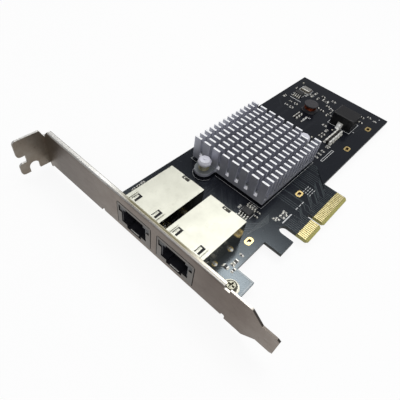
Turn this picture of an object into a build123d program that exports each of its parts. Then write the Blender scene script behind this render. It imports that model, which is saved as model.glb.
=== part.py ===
from build123d import *
import os
from math import cos, pi, sin

os.makedirs("parts", exist_ok=True)

# Network interface card with a full-height bracket. The origin is the middle of the key
# notch on the contact edge, on the component face of the board. +X runs from the bracket
# to the tail of the card, +Y from the contact edge to the top edge, and +Z stands out of
# the component face. All sizes are in millimetres.

# Board outline
board_thickness = 1.57
board_tail_x = 95.3
board_top_y = 68.9
board_low_y = 12.4
foot_low_y = 4.4
foot_length = 15.9
leg_low_y = 4.2
leg_length = 8.6
leg_slot_width = 4.35
leg_slot_end_y = 12.2
short_tongue_length = 11.2
long_tongue_length = 21.2
key_notch_width = 1.9
key_notch_depth = 7.5
bevel_height = 1.3
bevel_depth = 0.42
tongue_corner_chamfer = 0.8

# Contact strips on the tongues
plating = 0.05
contact_pitch = 1.0
contact_width = 0.7
contact_low_y = 1.35
contact_high_y = 5.3
contact_first = 1.5
short_contacts = 11
long_contacts = 21

# Plated oblong tooling slots, and the rings where the jack covers are soldered
slot_ring_length = 4.1
slot_ring_width = 2.8
slot_hole_length = 2.3
slot_hole_width = 1.4
slot_ring_y = 16.9
slot_ring_xs = [-29.5, 7.7, 53.9, 78.7]
tail_ring_radius = 1.15

# Bracket sheet
sheet = 0.86
bend_inner = 0.15
plate_front_x = -59.7
board_gap = 0.44
lip_z = -2.43
bracket_width = 18.42
bracket_length = 120.02
tongue_end_y = -14.94
tongue_width = 10.2
tongue_length = 6.64
taper_length = 4.8
tongue_tip_chamfer = 1.1
flange_depth = 1.1
flange_low_y = 7.6
flange_high_y = 101.0
lip_depth = 2.9
lip_low_y = 5.8
lip_high_y = 67.0
relief_width = 2.4
relief_depth = 1.5
lip_relief_width = 1.7
lip_relief_depth = 1.2
corner_nub_length = 2.4
corner_nub_drop = 1.3

# Bracket top tab
tab_reach = 12.8
tab_side_inset = 0.4
tab_screw_slot_width = 3.4
tab_screw_slot_z = 5.6
tab_screw_slot_depth = 3.5
tab_notch_radius = 2.2
tab_notch_x = -66.5
tab_notch_height = 4.5
tab_corner_radius = 1.5
corner_relief = 3.4

# Screws that hold the board to the bracket's ears
screw_x = -50.3
screw_low_y = 9.35
screw_high_y = 63.5
screw_radius = 1.45
screw_clearance = 0.05
screw_board_clearance = 0.25
screw_head_radius = 2.5
screw_head_height = 1.9
screw_tip = 0.6
screw_pad_radius = 3.4
ear_radius = 3.4
recess_width = 0.6
recess_length = 2.6
recess_depth = 1.0

# Network jacks
jack_pitch = 21.1
jack_low_y = 28.35
jack_width = 17.7
jack_height = 11.95
jack_length = 28.1
jack_proud = 0.05
jack_cutout_gap = 0.3
jack_cutout_chamfer = 0.7
shield_sheet = 0.25
mouth_width = 13.1
mouth_low_z = 2.2
mouth_high_z = 10.6
lamp_mouth_inset = 0.75
lamp_mouth_low_z = 7.4
latch_mouth_width = 7.6
latch_mouth_low_z = 0.5
inside_gap = 0.05
housing_length = 13.4
cavity_high_z = 8.95
cavity_depth = 12.3
comb_width = 9.4
light_pipe_width = 1.5
lamp_wall = 0.6
light_pipe_height = 2.9
spring_window_width = 2.3
spring_window_length = 3.6
spring_window_setback = 4.7
spring_tongue_width = 1.1
spring_tongue_gap = 0.3
spring_tongue_rise = 0.3
spring_tip_gap = 0.8
top_window_offset = 5.3
side_window_z = 7.4
rear_notch_width = 3.5
rear_notch_depth = 1.8
shield_tail_width = 1.4
shield_tail_setbacks = [12.7, 22.0]
tail_hole_gap = 0.2
tail_depth = 1.3
post_radius = 1.6
post_hole_gap = 0.08
post_setback = 10.4
post_offset = 5.7
post_below_board = 0.9

# Contact springs and solder pins of a jack
spring_pitch = 1.02
spring_wire = 0.3
spring_count = 8
spring_run_z = 10.3
spring_bend_setback = 3.2
spring_tip_setback = 10.0
spring_tip_z = 9.2
pin_width = 0.46
pin_hole_gap = 0.14
pin_row_pitch = 2.54
pin_step = 1.27
pin_count = 10
pin_row_inset = 8.8
lamp_pin_inset = 3.2
lamp_pin_offsets = [-7.2, -4.7, 4.7, 7.2]
magnetics_low_z = 0.5

# Heatsink
sink_x = 9.15
sink_y = 44.0
sink_length = 42.3
sink_width = 40.0
sink_low_z = 1.6
sink_base = 2.2
sink_high_z = 13.1
fin_rows = 14
fin_lines = 8
fin_length = 1.0
fin_width = 3.5
ear_plate = 1.7
sink_ear_radius = 4.1
sink_ear_reach = 3.5
sink_ear_offset = 10.3
sink_neck_radius = 1.0

# Push pins and their springs
pin_shaft_radius = 1.45
pin_shaft_gap = 0.12
pin_head_radius = 3.15
pin_head_low_z = 6.4
pin_head_rim = 0.9
pin_crown_radius = 2.5
pin_crown_height = 1.1
pin_nub_radius = 0.7
pin_nub_height = 0.35
pin_head_sides = 8
barb_radius = 1.95
barb_tip_radius = 0.9
barb_length = 2.6
barb_slit = 0.7
coil_wire = 0.42
coil_radius = 2.2
coil_turns = 2.5
coil_steps = 10
coil_end_gap = 0.02

# Controller and its pad, under the heatsink
controller_size = 17.0
substrate_height = 0.6
cap_inset = 0.9
cap_height = 0.85
pad_size = 14.0

# Eight-lead chips
lead_pitch = 1.27
lead_width = 0.42
lead_sheet = 0.2
chip_standoff = 0.12
flash_x = -18.6
flash_y = 26.5
flash_width = 3.6
flash_length = 4.6
flash_height = 1.5
flash_lead_reach = 1.15
regulator_x = 76.0
regulator_y = 60.7
regulator_width = 3.9
regulator_length = 4.9
regulator_height = 1.5
regulator_lead_reach = 1.1

# Quartz crystal
crystal_x = 83.2
crystal_y = 60.2
crystal_width = 4.8
crystal_length = 5.8
crystal_base_height = 0.35
crystal_can_inset = 0.25
crystal_can_height = 0.8

# Drum inductor
drum_x = 67.0
drum_y = 48.2
drum_base_size = 8.0
drum_base_height = 0.7
drum_base_chamfer = 1.4
drum_radius = 3.8
drum_height = 3.6
drum_flange = 0.7
drum_core_radius = 1.9
winding_inset = 0.45
winding_gap = 0.04

# Power inductor
block_x = 71.6
block_y = 28.9
block_length = 10.2
block_width = 12.0
block_height = 6.9
block_chamfer = 0.5
block_terminal_width = 3.0
block_terminal_sheet = 0.2
block_terminal_height = 3.0
block_terminal_foot = 2.4

# Chip parts: length, width, height and end length
output_chip = (3.2, 2.3, 1.7, 0.85)
wide_chip = (3.2, 1.6, 0.6, 0.5)
large_chip = (2.0, 1.25, 0.6, 0.4)
middle_chip = (1.6, 0.8, 0.5, 0.32)
small_chip = (1.0, 0.5, 0.4, 0.24)
output_first_x = 50.2
output_pitch = 2.88
output_count = 5
output_y = 26.4
solder_side_row_offset = 3.5
solder_side_row_count = 4
solder_side_pitch = 3.0

# Places that follow from the sizes above
bend_outer = bend_inner + sheet
plate_rear_x = plate_front_x + sheet
flange_z = lip_z + bracket_width
flange_rear_x = plate_rear_x + flange_depth
lip_rear_x = plate_rear_x + lip_depth
bracket_top_y = tongue_end_y + bracket_length
tongue_low_z = lip_z + (bracket_width - tongue_width) / 2
tongue_high_z = tongue_low_z + tongue_width
shoulder_y = tongue_end_y + tongue_length
taper_y = shoulder_y + taper_length
tab_end_x = plate_front_x - tab_reach
tab_low_z = lip_z + tab_side_inset
tab_high_z = flange_z - tab_side_inset

board_front_x = plate_rear_x + board_gap
underside_z = -board_thickness
foot_rear_x = board_front_x + foot_length
tongue_front_x = -key_notch_width / 2 - short_tongue_length
tongue_rear_x = key_notch_width / 2 + long_tongue_length
leg_slot_x = tongue_front_x - leg_slot_width / 2
leg_front_x = tongue_front_x - leg_slot_width - leg_length

screw_ys = [screw_low_y, screw_high_y]
jack_side_y = jack_low_y - jack_width / 2
jack_front_x = plate_front_x - jack_proud
jack_rear_x = jack_front_x + jack_length
jack_mid_x = jack_front_x + jack_length / 2
jack_ys = [jack_low_y + jack_pitch, jack_low_y]
jack_wall_y = (jack_width - shield_sheet) / 2
lamp_mouth_width = jack_width - 2 * lamp_mouth_inset
cavity_width = lamp_mouth_width - 2 * (light_pipe_width + lamp_wall)
housing_front_x = jack_front_x + shield_sheet + inside_gap
housing_rear_x = housing_front_x + housing_length
inside_width = jack_width - 2 * shield_sheet - 2 * inside_gap
inside_high_z = jack_height - shield_sheet - inside_gap
window_mid_x = jack_front_x + spring_window_setback + spring_window_length / 2
tail_xs = [jack_front_x + setback for setback in shield_tail_setbacks]
pin_low_z = underside_z - tail_depth
post_x = jack_front_x + post_setback

fin_pitch_x = (sink_length - fin_length) / (fin_rows - 1)
fin_pitch_y = (sink_width - fin_width) / (fin_lines - 1)
sink_top_z = sink_low_z + sink_base
ear_top_z = sink_low_z + ear_plate
sink_ear_x = sink_length / 2 + sink_ear_reach
push_pin_places = {
    "front": (sink_x - sink_ear_x, sink_y + sink_ear_offset),
    "rear": (sink_x + sink_ear_x, sink_y - sink_ear_offset),
}
pin_hole_radius_board = pin_shaft_radius + pin_shaft_gap
substrate_top_z = substrate_height
cap_top_z = substrate_top_z + cap_height


def jack_pin_places(centre_y):
    # two staggered signal rows, then the four lamp pins
    places = []
    for index in range(pin_count):
        row_x = jack_rear_x - pin_row_inset + pin_row_pitch * (index % 2)
        row_y = centre_y + pin_step * (index - (pin_count - 1) / 2)
        places.append((row_x, row_y))
    for offset_y in lamp_pin_offsets:
        places.append((jack_rear_x - lamp_pin_inset, centre_y + offset_y))
    return places


def eased_slot(length, width, mode):
    # slot outline with eased ends, added to the sketch at hand or cut from it
    points = []
    for side_x, side_y in [(1, 1), (-1, 1), (-1, -1), (1, -1)]:
        corner = [(0, 0.35), (0.2, 0.8), (0.65, 1)]
        if side_x != side_y:
            corner.reverse()
        for inset, rise in corner:
            points.append((side_x * (length / 2 - inset * width / 2), side_y * rise * width / 2))
    Polygon(*points, align=None, mode=mode)


# Circuit board
with BuildPart() as pcb:
    with BuildSketch(Plane.XY.offset(underside_z)):
        with BuildLine():
            Polyline(
                (board_front_x, board_top_y),
                (board_front_x, foot_low_y),
                (foot_rear_x, foot_low_y),
                (foot_rear_x, board_low_y),
                (leg_front_x, board_low_y),
                (leg_front_x, leg_low_y),
                (leg_slot_x, leg_low_y),
                (leg_slot_x, 0),
                (tongue_rear_x, 0),
                (tongue_rear_x, board_low_y),
                (board_tail_x, board_low_y),
                (board_tail_x, board_top_y),
                close=True,
            )
        make_face()
        # round-ended slot beside the leg, and the key notch
        with Locations((leg_slot_x, leg_slot_end_y - board_low_y)):
            SlotOverall(2 * board_low_y, leg_slot_width, rotation=90, mode=Mode.SUBTRACT)
        with Locations((0, 0)):
            SlotOverall(2 * key_notch_depth, key_notch_width, rotation=90, mode=Mode.SUBTRACT)
        # chamfered corners of the two tongues
        for corner_x, inward in [(tongue_front_x, 1), (-key_notch_width / 2, -1),
                                 (key_notch_width / 2, 1), (tongue_rear_x, -1)]:
            Polygon((corner_x, 0), (corner_x + inward * tongue_corner_chamfer, 0),
                    (corner_x, tongue_corner_chamfer), align=None, mode=Mode.SUBTRACT)
        # holes for screws, push pins, jack posts, tails and pins
        with Locations(*[(screw_x, y) for y in screw_ys]):
            Circle(screw_radius + screw_board_clearance, mode=Mode.SUBTRACT)
        with Locations(*push_pin_places.values()):
            Circle(pin_hole_radius_board, mode=Mode.SUBTRACT)
        for jack_y in jack_ys:
            with Locations((post_x, jack_y - post_offset), (post_x, jack_y + post_offset)):
                RegularPolygon(post_radius + post_hole_gap, 10, major_radius=False,
                               mode=Mode.SUBTRACT)
            for tail_x in tail_xs:
                with Locations((tail_x, jack_y - jack_wall_y), (tail_x, jack_y + jack_wall_y)):
                    Rectangle(shield_tail_width + 2 * tail_hole_gap,
                              shield_sheet + 2 * tail_hole_gap, mode=Mode.SUBTRACT)
            with Locations(*jack_pin_places(jack_y)):
                Rectangle(pin_width + 2 * pin_hole_gap, pin_width + 2 * pin_hole_gap,
                          mode=Mode.SUBTRACT)
        with Locations(*[(x, slot_ring_y) for x in slot_ring_xs]):
            eased_slot(slot_hole_length, slot_hole_width, Mode.SUBTRACT)
    extrude(amount=board_thickness)
    # bevels that lead the contact edge into its connector
    with BuildSketch(Plane.YZ.offset(leg_slot_x)):
        with BuildLine():
            Polyline((0, 0), (bevel_height, 0), (0, -bevel_depth), close=True)
        make_face()
        with BuildLine():
            Polyline(
                (0, underside_z),
                (0, underside_z + bevel_depth),
                (bevel_height, underside_z),
                close=True,
            )
        make_face()
    extrude(amount=tongue_rear_x - leg_slot_x, mode=Mode.SUBTRACT)
pcb.part.label = "pcb"
export_step(pcb.part, "parts/pcb.step")


# Contact strips on both faces of the tongues
contact_places = []
for index in range(short_contacts):
    contact_places.append((-contact_first - contact_pitch * index, 0))
for index in range(long_contacts):
    contact_places.append((contact_first + contact_pitch * index, 0))

with BuildPart() as edge_contacts:
    for face_z in [0, underside_z - plating]:
        with BuildSketch(Plane.XY.offset(face_z)):
            with Locations(*[(x, (contact_low_y + contact_high_y) / 2) for x, _ in contact_places]):
                Rectangle(contact_width, contact_high_y - contact_low_y)
        extrude(amount=plating)
edge_contacts.part.label = "edge_contacts"
export_step(edge_contacts.part, "parts/edge_contacts.step")


# Plated rings of the oblong slots and of the jack covers' tails
with BuildPart() as plated_slots:
    with BuildSketch():
        for jack_y in jack_ys:
            tail_places = []
            for tail_x in tail_xs:
                tail_places.append((tail_x, jack_y - jack_wall_y))
                tail_places.append((tail_x, jack_y + jack_wall_y))
            with Locations(*tail_places):
                RegularPolygon(tail_ring_radius, 12)
                Rectangle(shield_tail_width + 2 * tail_hole_gap,
                          shield_sheet + 2 * tail_hole_gap, mode=Mode.SUBTRACT)
            # only the half outside the cover is there
            with Locations((jack_mid_x, jack_y)):
                Rectangle(jack_length, jack_width, mode=Mode.SUBTRACT)
        with Locations(*[(x, slot_ring_y) for x in slot_ring_xs]):
            eased_slot(slot_ring_length, slot_ring_width, Mode.ADD)
            eased_slot(slot_hole_length, slot_hole_width, Mode.SUBTRACT)
    extrude(amount=plating)
plated_slots.part.label = "plated_slots"
export_step(plated_slots.part, "parts/plated_slots.step")


# Plated pads under the heads of the bracket screws
with BuildPart() as screw_pads:
    with BuildSketch():
        with Locations(*[(screw_x, y) for y in screw_ys]):
            RegularPolygon(screw_pad_radius, 20)
            RegularPolygon(screw_radius + screw_board_clearance, 8, major_radius=False,
                           mode=Mode.SUBTRACT)
    extrude(amount=plating)
screw_pads.part.label = "screw_pads"
export_step(screw_pads.part, "parts/screw_pads.step")


# Bracket, one folded sheet
with BuildPart() as bracket:
    # flat plate with its tapered tongue
    with BuildSketch(Plane.YZ.offset(plate_front_x)):
        with BuildLine():
            Polyline(
                (taper_y, lip_z),
                (shoulder_y, tongue_low_z),
                (tongue_end_y + tongue_tip_chamfer, tongue_low_z),
                (tongue_end_y, tongue_low_z + tongue_tip_chamfer / 2),
                (tongue_end_y, tongue_high_z - tongue_tip_chamfer / 2),
                (tongue_end_y + tongue_tip_chamfer, tongue_high_z),
                (shoulder_y, tongue_high_z),
                (taper_y, flange_z),
                (flange_high_y, flange_z),
                (bracket_top_y - bend_outer, flange_z - corner_relief),
                (bracket_top_y - bend_outer, tab_low_z),
                (bracket_top_y - bend_outer - 0.6, lip_z - corner_nub_drop),
                (bracket_top_y - bend_outer - 1.2, lip_z - corner_nub_drop),
                (bracket_top_y - bend_outer - corner_nub_length, lip_z),
                close=True,
            )
        make_face()
        # relief notches at the ends of the folds
        with Locations((flange_low_y - relief_width / 2, flange_z)):
            Rectangle(relief_width, 2 * relief_depth, mode=Mode.SUBTRACT)
        for relief_y in [lip_low_y - lip_relief_width / 2, lip_high_y + lip_relief_width / 2]:
            with Locations((relief_y, lip_z)):
                SlotOverall(2 * lip_relief_depth + lip_relief_width, lip_relief_width,
                            rotation=90, mode=Mode.SUBTRACT)
        # strips that the folds replace
        with Locations(((flange_low_y + flange_high_y) / 2, flange_z - bend_outer / 2)):
            Rectangle(flange_high_y - flange_low_y, bend_outer, mode=Mode.SUBTRACT)
        with Locations(((lip_low_y + lip_high_y) / 2, lip_z + bend_outer / 2)):
            Rectangle(lip_high_y - lip_low_y, bend_outer, mode=Mode.SUBTRACT)
    extrude(amount=sheet)

    # flange folded back along the component side
    with BuildSketch(Plane.XZ.offset(-flange_low_y)) as flange_section:
        with BuildLine():
            Polyline(
                (plate_front_x, flange_z - 2 * bend_outer),
                (plate_rear_x, flange_z - 2 * bend_outer),
                (plate_rear_x, flange_z - sheet),
                (flange_rear_x, flange_z - sheet),
                (flange_rear_x, flange_z),
                (plate_front_x, flange_z),
                close=True,
            )
        make_face()
        outer_corner = flange_section.vertices().group_by(Axis.X)[0].sort_by(Axis.Y)[-1]
        inner_corner = flange_section.vertices().group_by(Axis.X)[1].sort_by(Axis.Y)[-1]
        fillet(outer_corner, radius=bend_outer)
        fillet(inner_corner, radius=bend_inner)
    extrude(amount=-(flange_high_y - flange_low_y))

    # lip folded back under the board
    with BuildSketch(Plane.XZ.offset(-lip_low_y)) as lip_section:
        with BuildLine():
            Polyline(
                (plate_front_x, lip_z),
                (lip_rear_x, lip_z),
                (lip_rear_x, lip_z + sheet),
                (plate_rear_x, lip_z + sheet),
                (plate_rear_x, lip_z + 2 * bend_outer),
                (plate_front_x, lip_z + 2 * bend_outer),
                close=True,
            )
        make_face()
        outer_corner = lip_section.vertices().group_by(Axis.X)[0].sort_by(Axis.Y)[0]
        inner_corner = lip_section.vertices().group_by(Axis.X)[1].sort_by(Axis.Y)[0]
        fillet(outer_corner, radius=bend_outer)
        fillet(inner_corner, radius=bend_inner)
    extrude(amount=-(lip_high_y - lip_low_y))

    # ears for the board screws
    with BuildSketch(Plane.XY.offset(lip_z)) as ears:
        for ear_y in screw_ys:
            with Locations(((plate_rear_x + bend_outer + screw_x + ear_radius) / 2, ear_y)):
                Rectangle(screw_x + ear_radius - plate_rear_x - bend_outer, 2 * ear_radius)
        chamfer(ears.vertices().group_by(Axis.X)[-1], length=ear_radius * 0.45)
        with Locations(*[(screw_x, y) for y in screw_ys]):
            Circle(screw_radius + screw_clearance, mode=Mode.SUBTRACT)
    extrude(amount=sheet)

    # tab folded out over the chassis
    with BuildSketch(Plane.XY.offset(tab_low_z)) as tab_section:
        with BuildLine():
            Polyline(
                (plate_rear_x, bracket_top_y - 2 * bend_outer),
                (plate_rear_x, bracket_top_y),
                (tab_end_x, bracket_top_y),
                (tab_end_x, bracket_top_y - sheet),
                (plate_front_x, bracket_top_y - sheet),
                (plate_front_x, bracket_top_y - 2 * bend_outer),
                close=True,
            )
        make_face()
        outer_corner = tab_section.vertices().group_by(Axis.X)[-1].sort_by(Axis.Y)[-1]
        inner_corner = tab_section.vertices().group_by(Axis.X)[1].sort_by(Axis.Y)[-1]
        fillet(outer_corner, radius=bend_outer)
        fillet(inner_corner, radius=bend_inner)
    extrude(amount=tab_high_z - tab_low_z)
    # screw slot, half-round notch and corner relief of the tab
    with BuildSketch(Plane.XZ.offset(-bracket_top_y)):
        with Locations((tab_end_x, tab_screw_slot_z)):
            Rectangle(2 * tab_screw_slot_depth, tab_screw_slot_width)
        with Locations((tab_notch_x, tab_low_z)):
            SlotOverall(2 * tab_notch_height, 2 * tab_notch_radius, rotation=90)
        with BuildLine():
            Polyline(
                (plate_front_x - 1.3, tab_high_z),
                (plate_front_x, flange_z - corner_relief),
                (plate_rear_x, flange_z - corner_relief),
                (plate_rear_x, tab_high_z),
                close=True,
            )
        make_face()
    extrude(amount=2 * bend_outer, mode=Mode.SUBTRACT)
    tab_corners = bracket.edges().filter_by(Axis.Y).group_by(Axis.X)[0]
    fillet(tab_corners, radius=tab_corner_radius)

    # windows for the jacks
    with BuildSketch(Plane.YZ.offset(plate_front_x)) as windows:
        for jack_y in jack_ys:
            with Locations((jack_y, (jack_height + jack_cutout_gap) / 2)):
                Rectangle(jack_width + 2 * jack_cutout_gap, jack_height + jack_cutout_gap)
        chamfer(windows.vertices().group_by(Axis.Y)[-1], length=jack_cutout_chamfer)
    extrude(amount=sheet, mode=Mode.SUBTRACT)
bracket.part.label = "bracket"
export_step(bracket.part, "parts/bracket.step")


# Pan-head screws that clamp the board to the bracket's ears
with BuildPart() as bracket_screws:
    for ear_y in screw_ys:
        with BuildSketch(Plane.XY.offset(lip_z - screw_tip)):
            with Locations((screw_x, ear_y)):
                RegularPolygon(screw_radius, 16)
        extrude(amount=plating - lip_z + screw_tip)
    with BuildSketch(Plane.XY.offset(plating)):
        with Locations(*[(screw_x, y) for y in screw_ys]):
            RegularPolygon(screw_head_radius, 20)
    extrude(amount=screw_head_height)
    chamfer(bracket_screws.edges().group_by(Axis.Z)[-1], length=screw_head_height * 0.4)
    with BuildSketch(Plane.XY.offset(plating + screw_head_height)):
        with Locations(*[(screw_x, y) for y in screw_ys]):
            Rectangle(recess_length, recess_width)
            Rectangle(recess_width, recess_length)
    extrude(amount=-recess_depth, mode=Mode.SUBTRACT)
bracket_screws.part.label = "bracket_screws"
export_step(bracket_screws.part, "parts/bracket_screws.step")


def mouth_profile(centre_y, mouth_gap):
    # one outline for the plug, its latch and the two lamps
    with Locations((centre_y, (mouth_low_z + mouth_high_z) / 2)):
        Rectangle(mouth_width - 2 * mouth_gap, mouth_high_z - mouth_low_z)
    with Locations((centre_y, (lamp_mouth_low_z + mouth_high_z) / 2)):
        Rectangle(lamp_mouth_width, mouth_high_z - lamp_mouth_low_z)
    with Locations((centre_y, (latch_mouth_low_z + mouth_low_z) / 2)):
        Rectangle(latch_mouth_width, mouth_low_z - latch_mouth_low_z)


def build_shield(number, centre_y):
    # folded cover, open to the board
    with BuildPart() as shield:
        with BuildSketch():
            with Locations((jack_mid_x, centre_y)):
                Rectangle(jack_length, jack_width)
        extrude(amount=jack_height)
        offset(amount=-shield_sheet, openings=shield.faces().sort_by(Axis.Z)[0])
        with BuildSketch(Plane.YZ.offset(jack_front_x)):
            mouth_profile(centre_y, 0)
        extrude(amount=shield_sheet, mode=Mode.SUBTRACT)
        # windows of the earthing springs, and the notch in the rear edge
        with BuildSketch(Plane.XY.offset(jack_height)):
            with Locations(
                (window_mid_x, centre_y - top_window_offset),
                (window_mid_x, centre_y + top_window_offset),
            ):
                Rectangle(spring_window_length, spring_window_width)
            with Locations((jack_rear_x, centre_y)):
                Rectangle(2 * rear_notch_depth, rear_notch_width)
        extrude(amount=-shield_sheet, mode=Mode.SUBTRACT)
        with BuildSketch(Plane.XZ.offset(-centre_y)):
            with Locations((window_mid_x, side_window_z)):
                Rectangle(spring_window_length, spring_window_width)
        extrude(amount=jack_width, both=True, mode=Mode.SUBTRACT)
        # spring tongues, rooted at the front and raised at the free end
        root_x = window_mid_x - spring_window_length / 2
        free_x = root_x + spring_window_length - spring_tip_gap
        tongue_profile = [
            (root_x, 0),
            (root_x, -shield_sheet),
            (free_x, spring_tongue_rise - shield_sheet),
            (free_x, spring_tongue_rise),
        ]
        for side in [-1, 1]:
            window_y = centre_y + side * top_window_offset + spring_window_width / 2
            with BuildSketch(Plane.XZ.offset(spring_tongue_gap - window_y)):
                with BuildLine():
                    Polyline(*[(x, jack_height + z) for x, z in tongue_profile], close=True)
                make_face()
            extrude(amount=spring_tongue_width)
            wall_y = centre_y + side * jack_width / 2
            with BuildSketch(Plane.XY.offset(side_window_z - spring_tongue_width / 2)):
                with BuildLine():
                    Polyline(*[(x, wall_y + side * z) for x, z in tongue_profile], close=True)
                make_face()
            extrude(amount=spring_tongue_width)
        # tails soldered in the board
        with BuildSketch(Plane.XY.offset(pin_low_z)):
            for tail_x in tail_xs:
                with Locations(
                    (tail_x, centre_y - jack_wall_y),
                    (tail_x, centre_y + jack_wall_y),
                ):
                    Rectangle(shield_tail_width, shield_sheet)
        extrude(amount=-pin_low_z)
    shield.part.label = f"jack_{number}_shield"
    export_step(shield.part, f"parts/jack_{number}_shield.step")


def build_housing(number, centre_y):
    # plug cavity, latch recess, contact comb and lamp channels in one insert
    with BuildPart() as housing:
        with BuildSketch():
            with Locations(((housing_front_x + housing_rear_x) / 2, centre_y)):
                Rectangle(housing_length, inside_width)
        extrude(amount=inside_high_z)
        with BuildSketch(Plane.YZ.offset(housing_front_x)):
            with Locations((centre_y, (mouth_low_z + cavity_high_z) / 2)):
                Rectangle(cavity_width, cavity_high_z - mouth_low_z)
            with Locations((centre_y, (latch_mouth_low_z + mouth_low_z) / 2)):
                Rectangle(latch_mouth_width, mouth_low_z - latch_mouth_low_z)
        extrude(amount=cavity_depth, mode=Mode.SUBTRACT)
        with BuildSketch(Plane.YZ.offset(housing_front_x)):
            with Locations((centre_y, (cavity_high_z + mouth_high_z) / 2)):
                Rectangle(comb_width, mouth_high_z - cavity_high_z)
            for side in [-1, 1]:
                pipe_y = centre_y + side * (lamp_mouth_width - light_pipe_width) / 2
                pipe_z = mouth_high_z - light_pipe_height / 2
                with Locations((pipe_y, pipe_z)):
                    Rectangle(light_pipe_width, light_pipe_height)
        extrude(amount=housing_length, mode=Mode.SUBTRACT)
        with BuildSketch():
            with Locations((post_x, centre_y - post_offset), (post_x, centre_y + post_offset)):
                RegularPolygon(post_radius, 10)
        extrude(amount=underside_z - post_below_board)
        chamfer(housing.edges().group_by(Axis.Z)[0], length=post_below_board / 2)
    housing.part.label = f"jack_{number}_housing"
    export_step(housing.part, f"parts/jack_{number}_housing.step")


def build_light_pipes(number, centre_y):
    with BuildPart() as light_pipes:
        with BuildSketch(Plane.YZ.offset(housing_front_x)):
            for side in [-1, 1]:
                pipe_y = centre_y + side * (lamp_mouth_width - light_pipe_width) / 2
                pipe_z = mouth_high_z - light_pipe_height / 2
                with Locations((pipe_y, pipe_z)):
                    Rectangle(light_pipe_width, light_pipe_height)
        extrude(amount=housing_length)
    light_pipes.part.label = f"jack_{number}_light_pipes"
    export_step(light_pipes.part, f"parts/jack_{number}_light_pipes.step")


def build_contact_springs(number, centre_y):
    # each spring runs forward above the cavity and folds back towards the plug
    bend_x = housing_front_x + spring_bend_setback
    tip_x = housing_front_x + spring_tip_setback
    with BuildPart() as contact_springs:
        for index in range(spring_count):
            spring_y = centre_y + spring_pitch * (index - (spring_count - 1) / 2)
            with BuildSketch(Plane.XZ.offset(-spring_y)):
                with BuildLine():
                    Polyline(
                        (housing_rear_x, spring_run_z - spring_wire / 2),
                        (housing_rear_x, spring_run_z + spring_wire / 2),
                        (bend_x - spring_wire, spring_run_z + spring_wire / 2),
                        (bend_x - 2 * spring_wire, spring_run_z - spring_wire / 2),
                        (bend_x - spring_wire, spring_run_z - 3 * spring_wire / 2),
                        (tip_x, spring_tip_z - spring_wire / 2),
                        (tip_x, spring_tip_z + spring_wire / 2),
                        (bend_x, spring_run_z - spring_wire / 2),
                        close=True,
                    )
                make_face()
            extrude(amount=spring_wire / 2, both=True)
    contact_springs.part.label = f"jack_{number}_contacts"
    export_step(contact_springs.part, f"parts/jack_{number}_contacts.step")


def build_magnetics(number, centre_y):
    with BuildPart() as magnetics:
        magnetics_rear_x = jack_rear_x - shield_sheet - inside_gap
        with BuildSketch(Plane.XY.offset(magnetics_low_z)):
            with Locations(((housing_rear_x + magnetics_rear_x) / 2, centre_y)):
                Rectangle(magnetics_rear_x - housing_rear_x, inside_width)
        extrude(amount=inside_high_z - magnetics_low_z)
    magnetics.part.label = f"jack_{number}_magnetics"
    export_step(magnetics.part, f"parts/jack_{number}_magnetics.step")


def build_jack_pins(number, centre_y):
    with BuildPart() as jack_pins:
        with BuildSketch(Plane.XY.offset(pin_low_z)):
            with Locations(*jack_pin_places(centre_y)):
                Rectangle(pin_width, pin_width)
        extrude(amount=magnetics_low_z - pin_low_z)
    jack_pins.part.label = f"jack_{number}_pins"
    export_step(jack_pins.part, f"parts/jack_{number}_pins.step")


# Network jacks
for jack_number, jack_y in enumerate(jack_ys, start=1):
    build_shield(jack_number, jack_y)
    build_housing(jack_number, jack_y)
    build_light_pipes(jack_number, jack_y)
    build_contact_springs(jack_number, jack_y)
    build_magnetics(jack_number, jack_y)
    build_jack_pins(jack_number, jack_y)


# Heatsink: base, two ears and cross-cut fins
with BuildPart() as heatsink:
    with BuildSketch(Plane.XY.offset(sink_low_z)) as sink_foot:
        with Locations((sink_x, sink_y)):
            Rectangle(sink_length, sink_width)
        for side in [-1, 1]:
            ear_x = sink_x + side * sink_ear_x
            ear_y = sink_y - side * sink_ear_offset
            with Locations((ear_x - side * sink_ear_reach / 2, ear_y)):
                Rectangle(sink_ear_reach, 2 * sink_ear_radius)
        base_edges = [sink_x - sink_length / 2, sink_x + sink_length / 2]
        necks = [
            v for v in sink_foot.vertices()
            if min(abs(v.X - edge) for edge in base_edges) < 0.01
            and abs(v.Y - sink_y) < sink_width / 2 - 0.01
        ]
        fillet(necks, radius=sink_neck_radius)
        with Locations(*push_pin_places.values()):
            Circle(sink_ear_radius)
            Circle(pin_hole_radius_board, mode=Mode.SUBTRACT)
    extrude(amount=ear_plate)
    with BuildSketch(Plane.XY.offset(sink_low_z)):
        with Locations((sink_x, sink_y)):
            Rectangle(sink_length, sink_width)
        with Locations(*push_pin_places.values()):
            Circle(pin_head_radius + pin_shaft_gap, mode=Mode.SUBTRACT)
    extrude(amount=sink_base)
    # the fin that would stand under the rear pin's head is left out
    rear_pin = push_pin_places["rear"]
    with BuildSketch(Plane.XY.offset(sink_top_z)):
        with Locations((sink_x, sink_y)):
            fins = GridLocations(fin_pitch_x, fin_pitch_y, fin_rows, fin_lines).locations
        last_row_x = max(fin.position.X for fin in fins)
        last_row = [fin for fin in fins if fin.position.X > last_row_x - 0.01]
        below_pin = [fin for fin in last_row if fin.position.Y < rear_pin[1]]
        missing = max(below_pin, key=lambda fin: fin.position.Y)
        kept = [fin for fin in fins if fin is not missing]
        with Locations(*kept):
            Rectangle(fin_length, fin_width)
    extrude(amount=sink_high_z - sink_top_z)
heatsink.part.label = "heatsink"
export_step(heatsink.part, "parts/heatsink.step")


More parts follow.
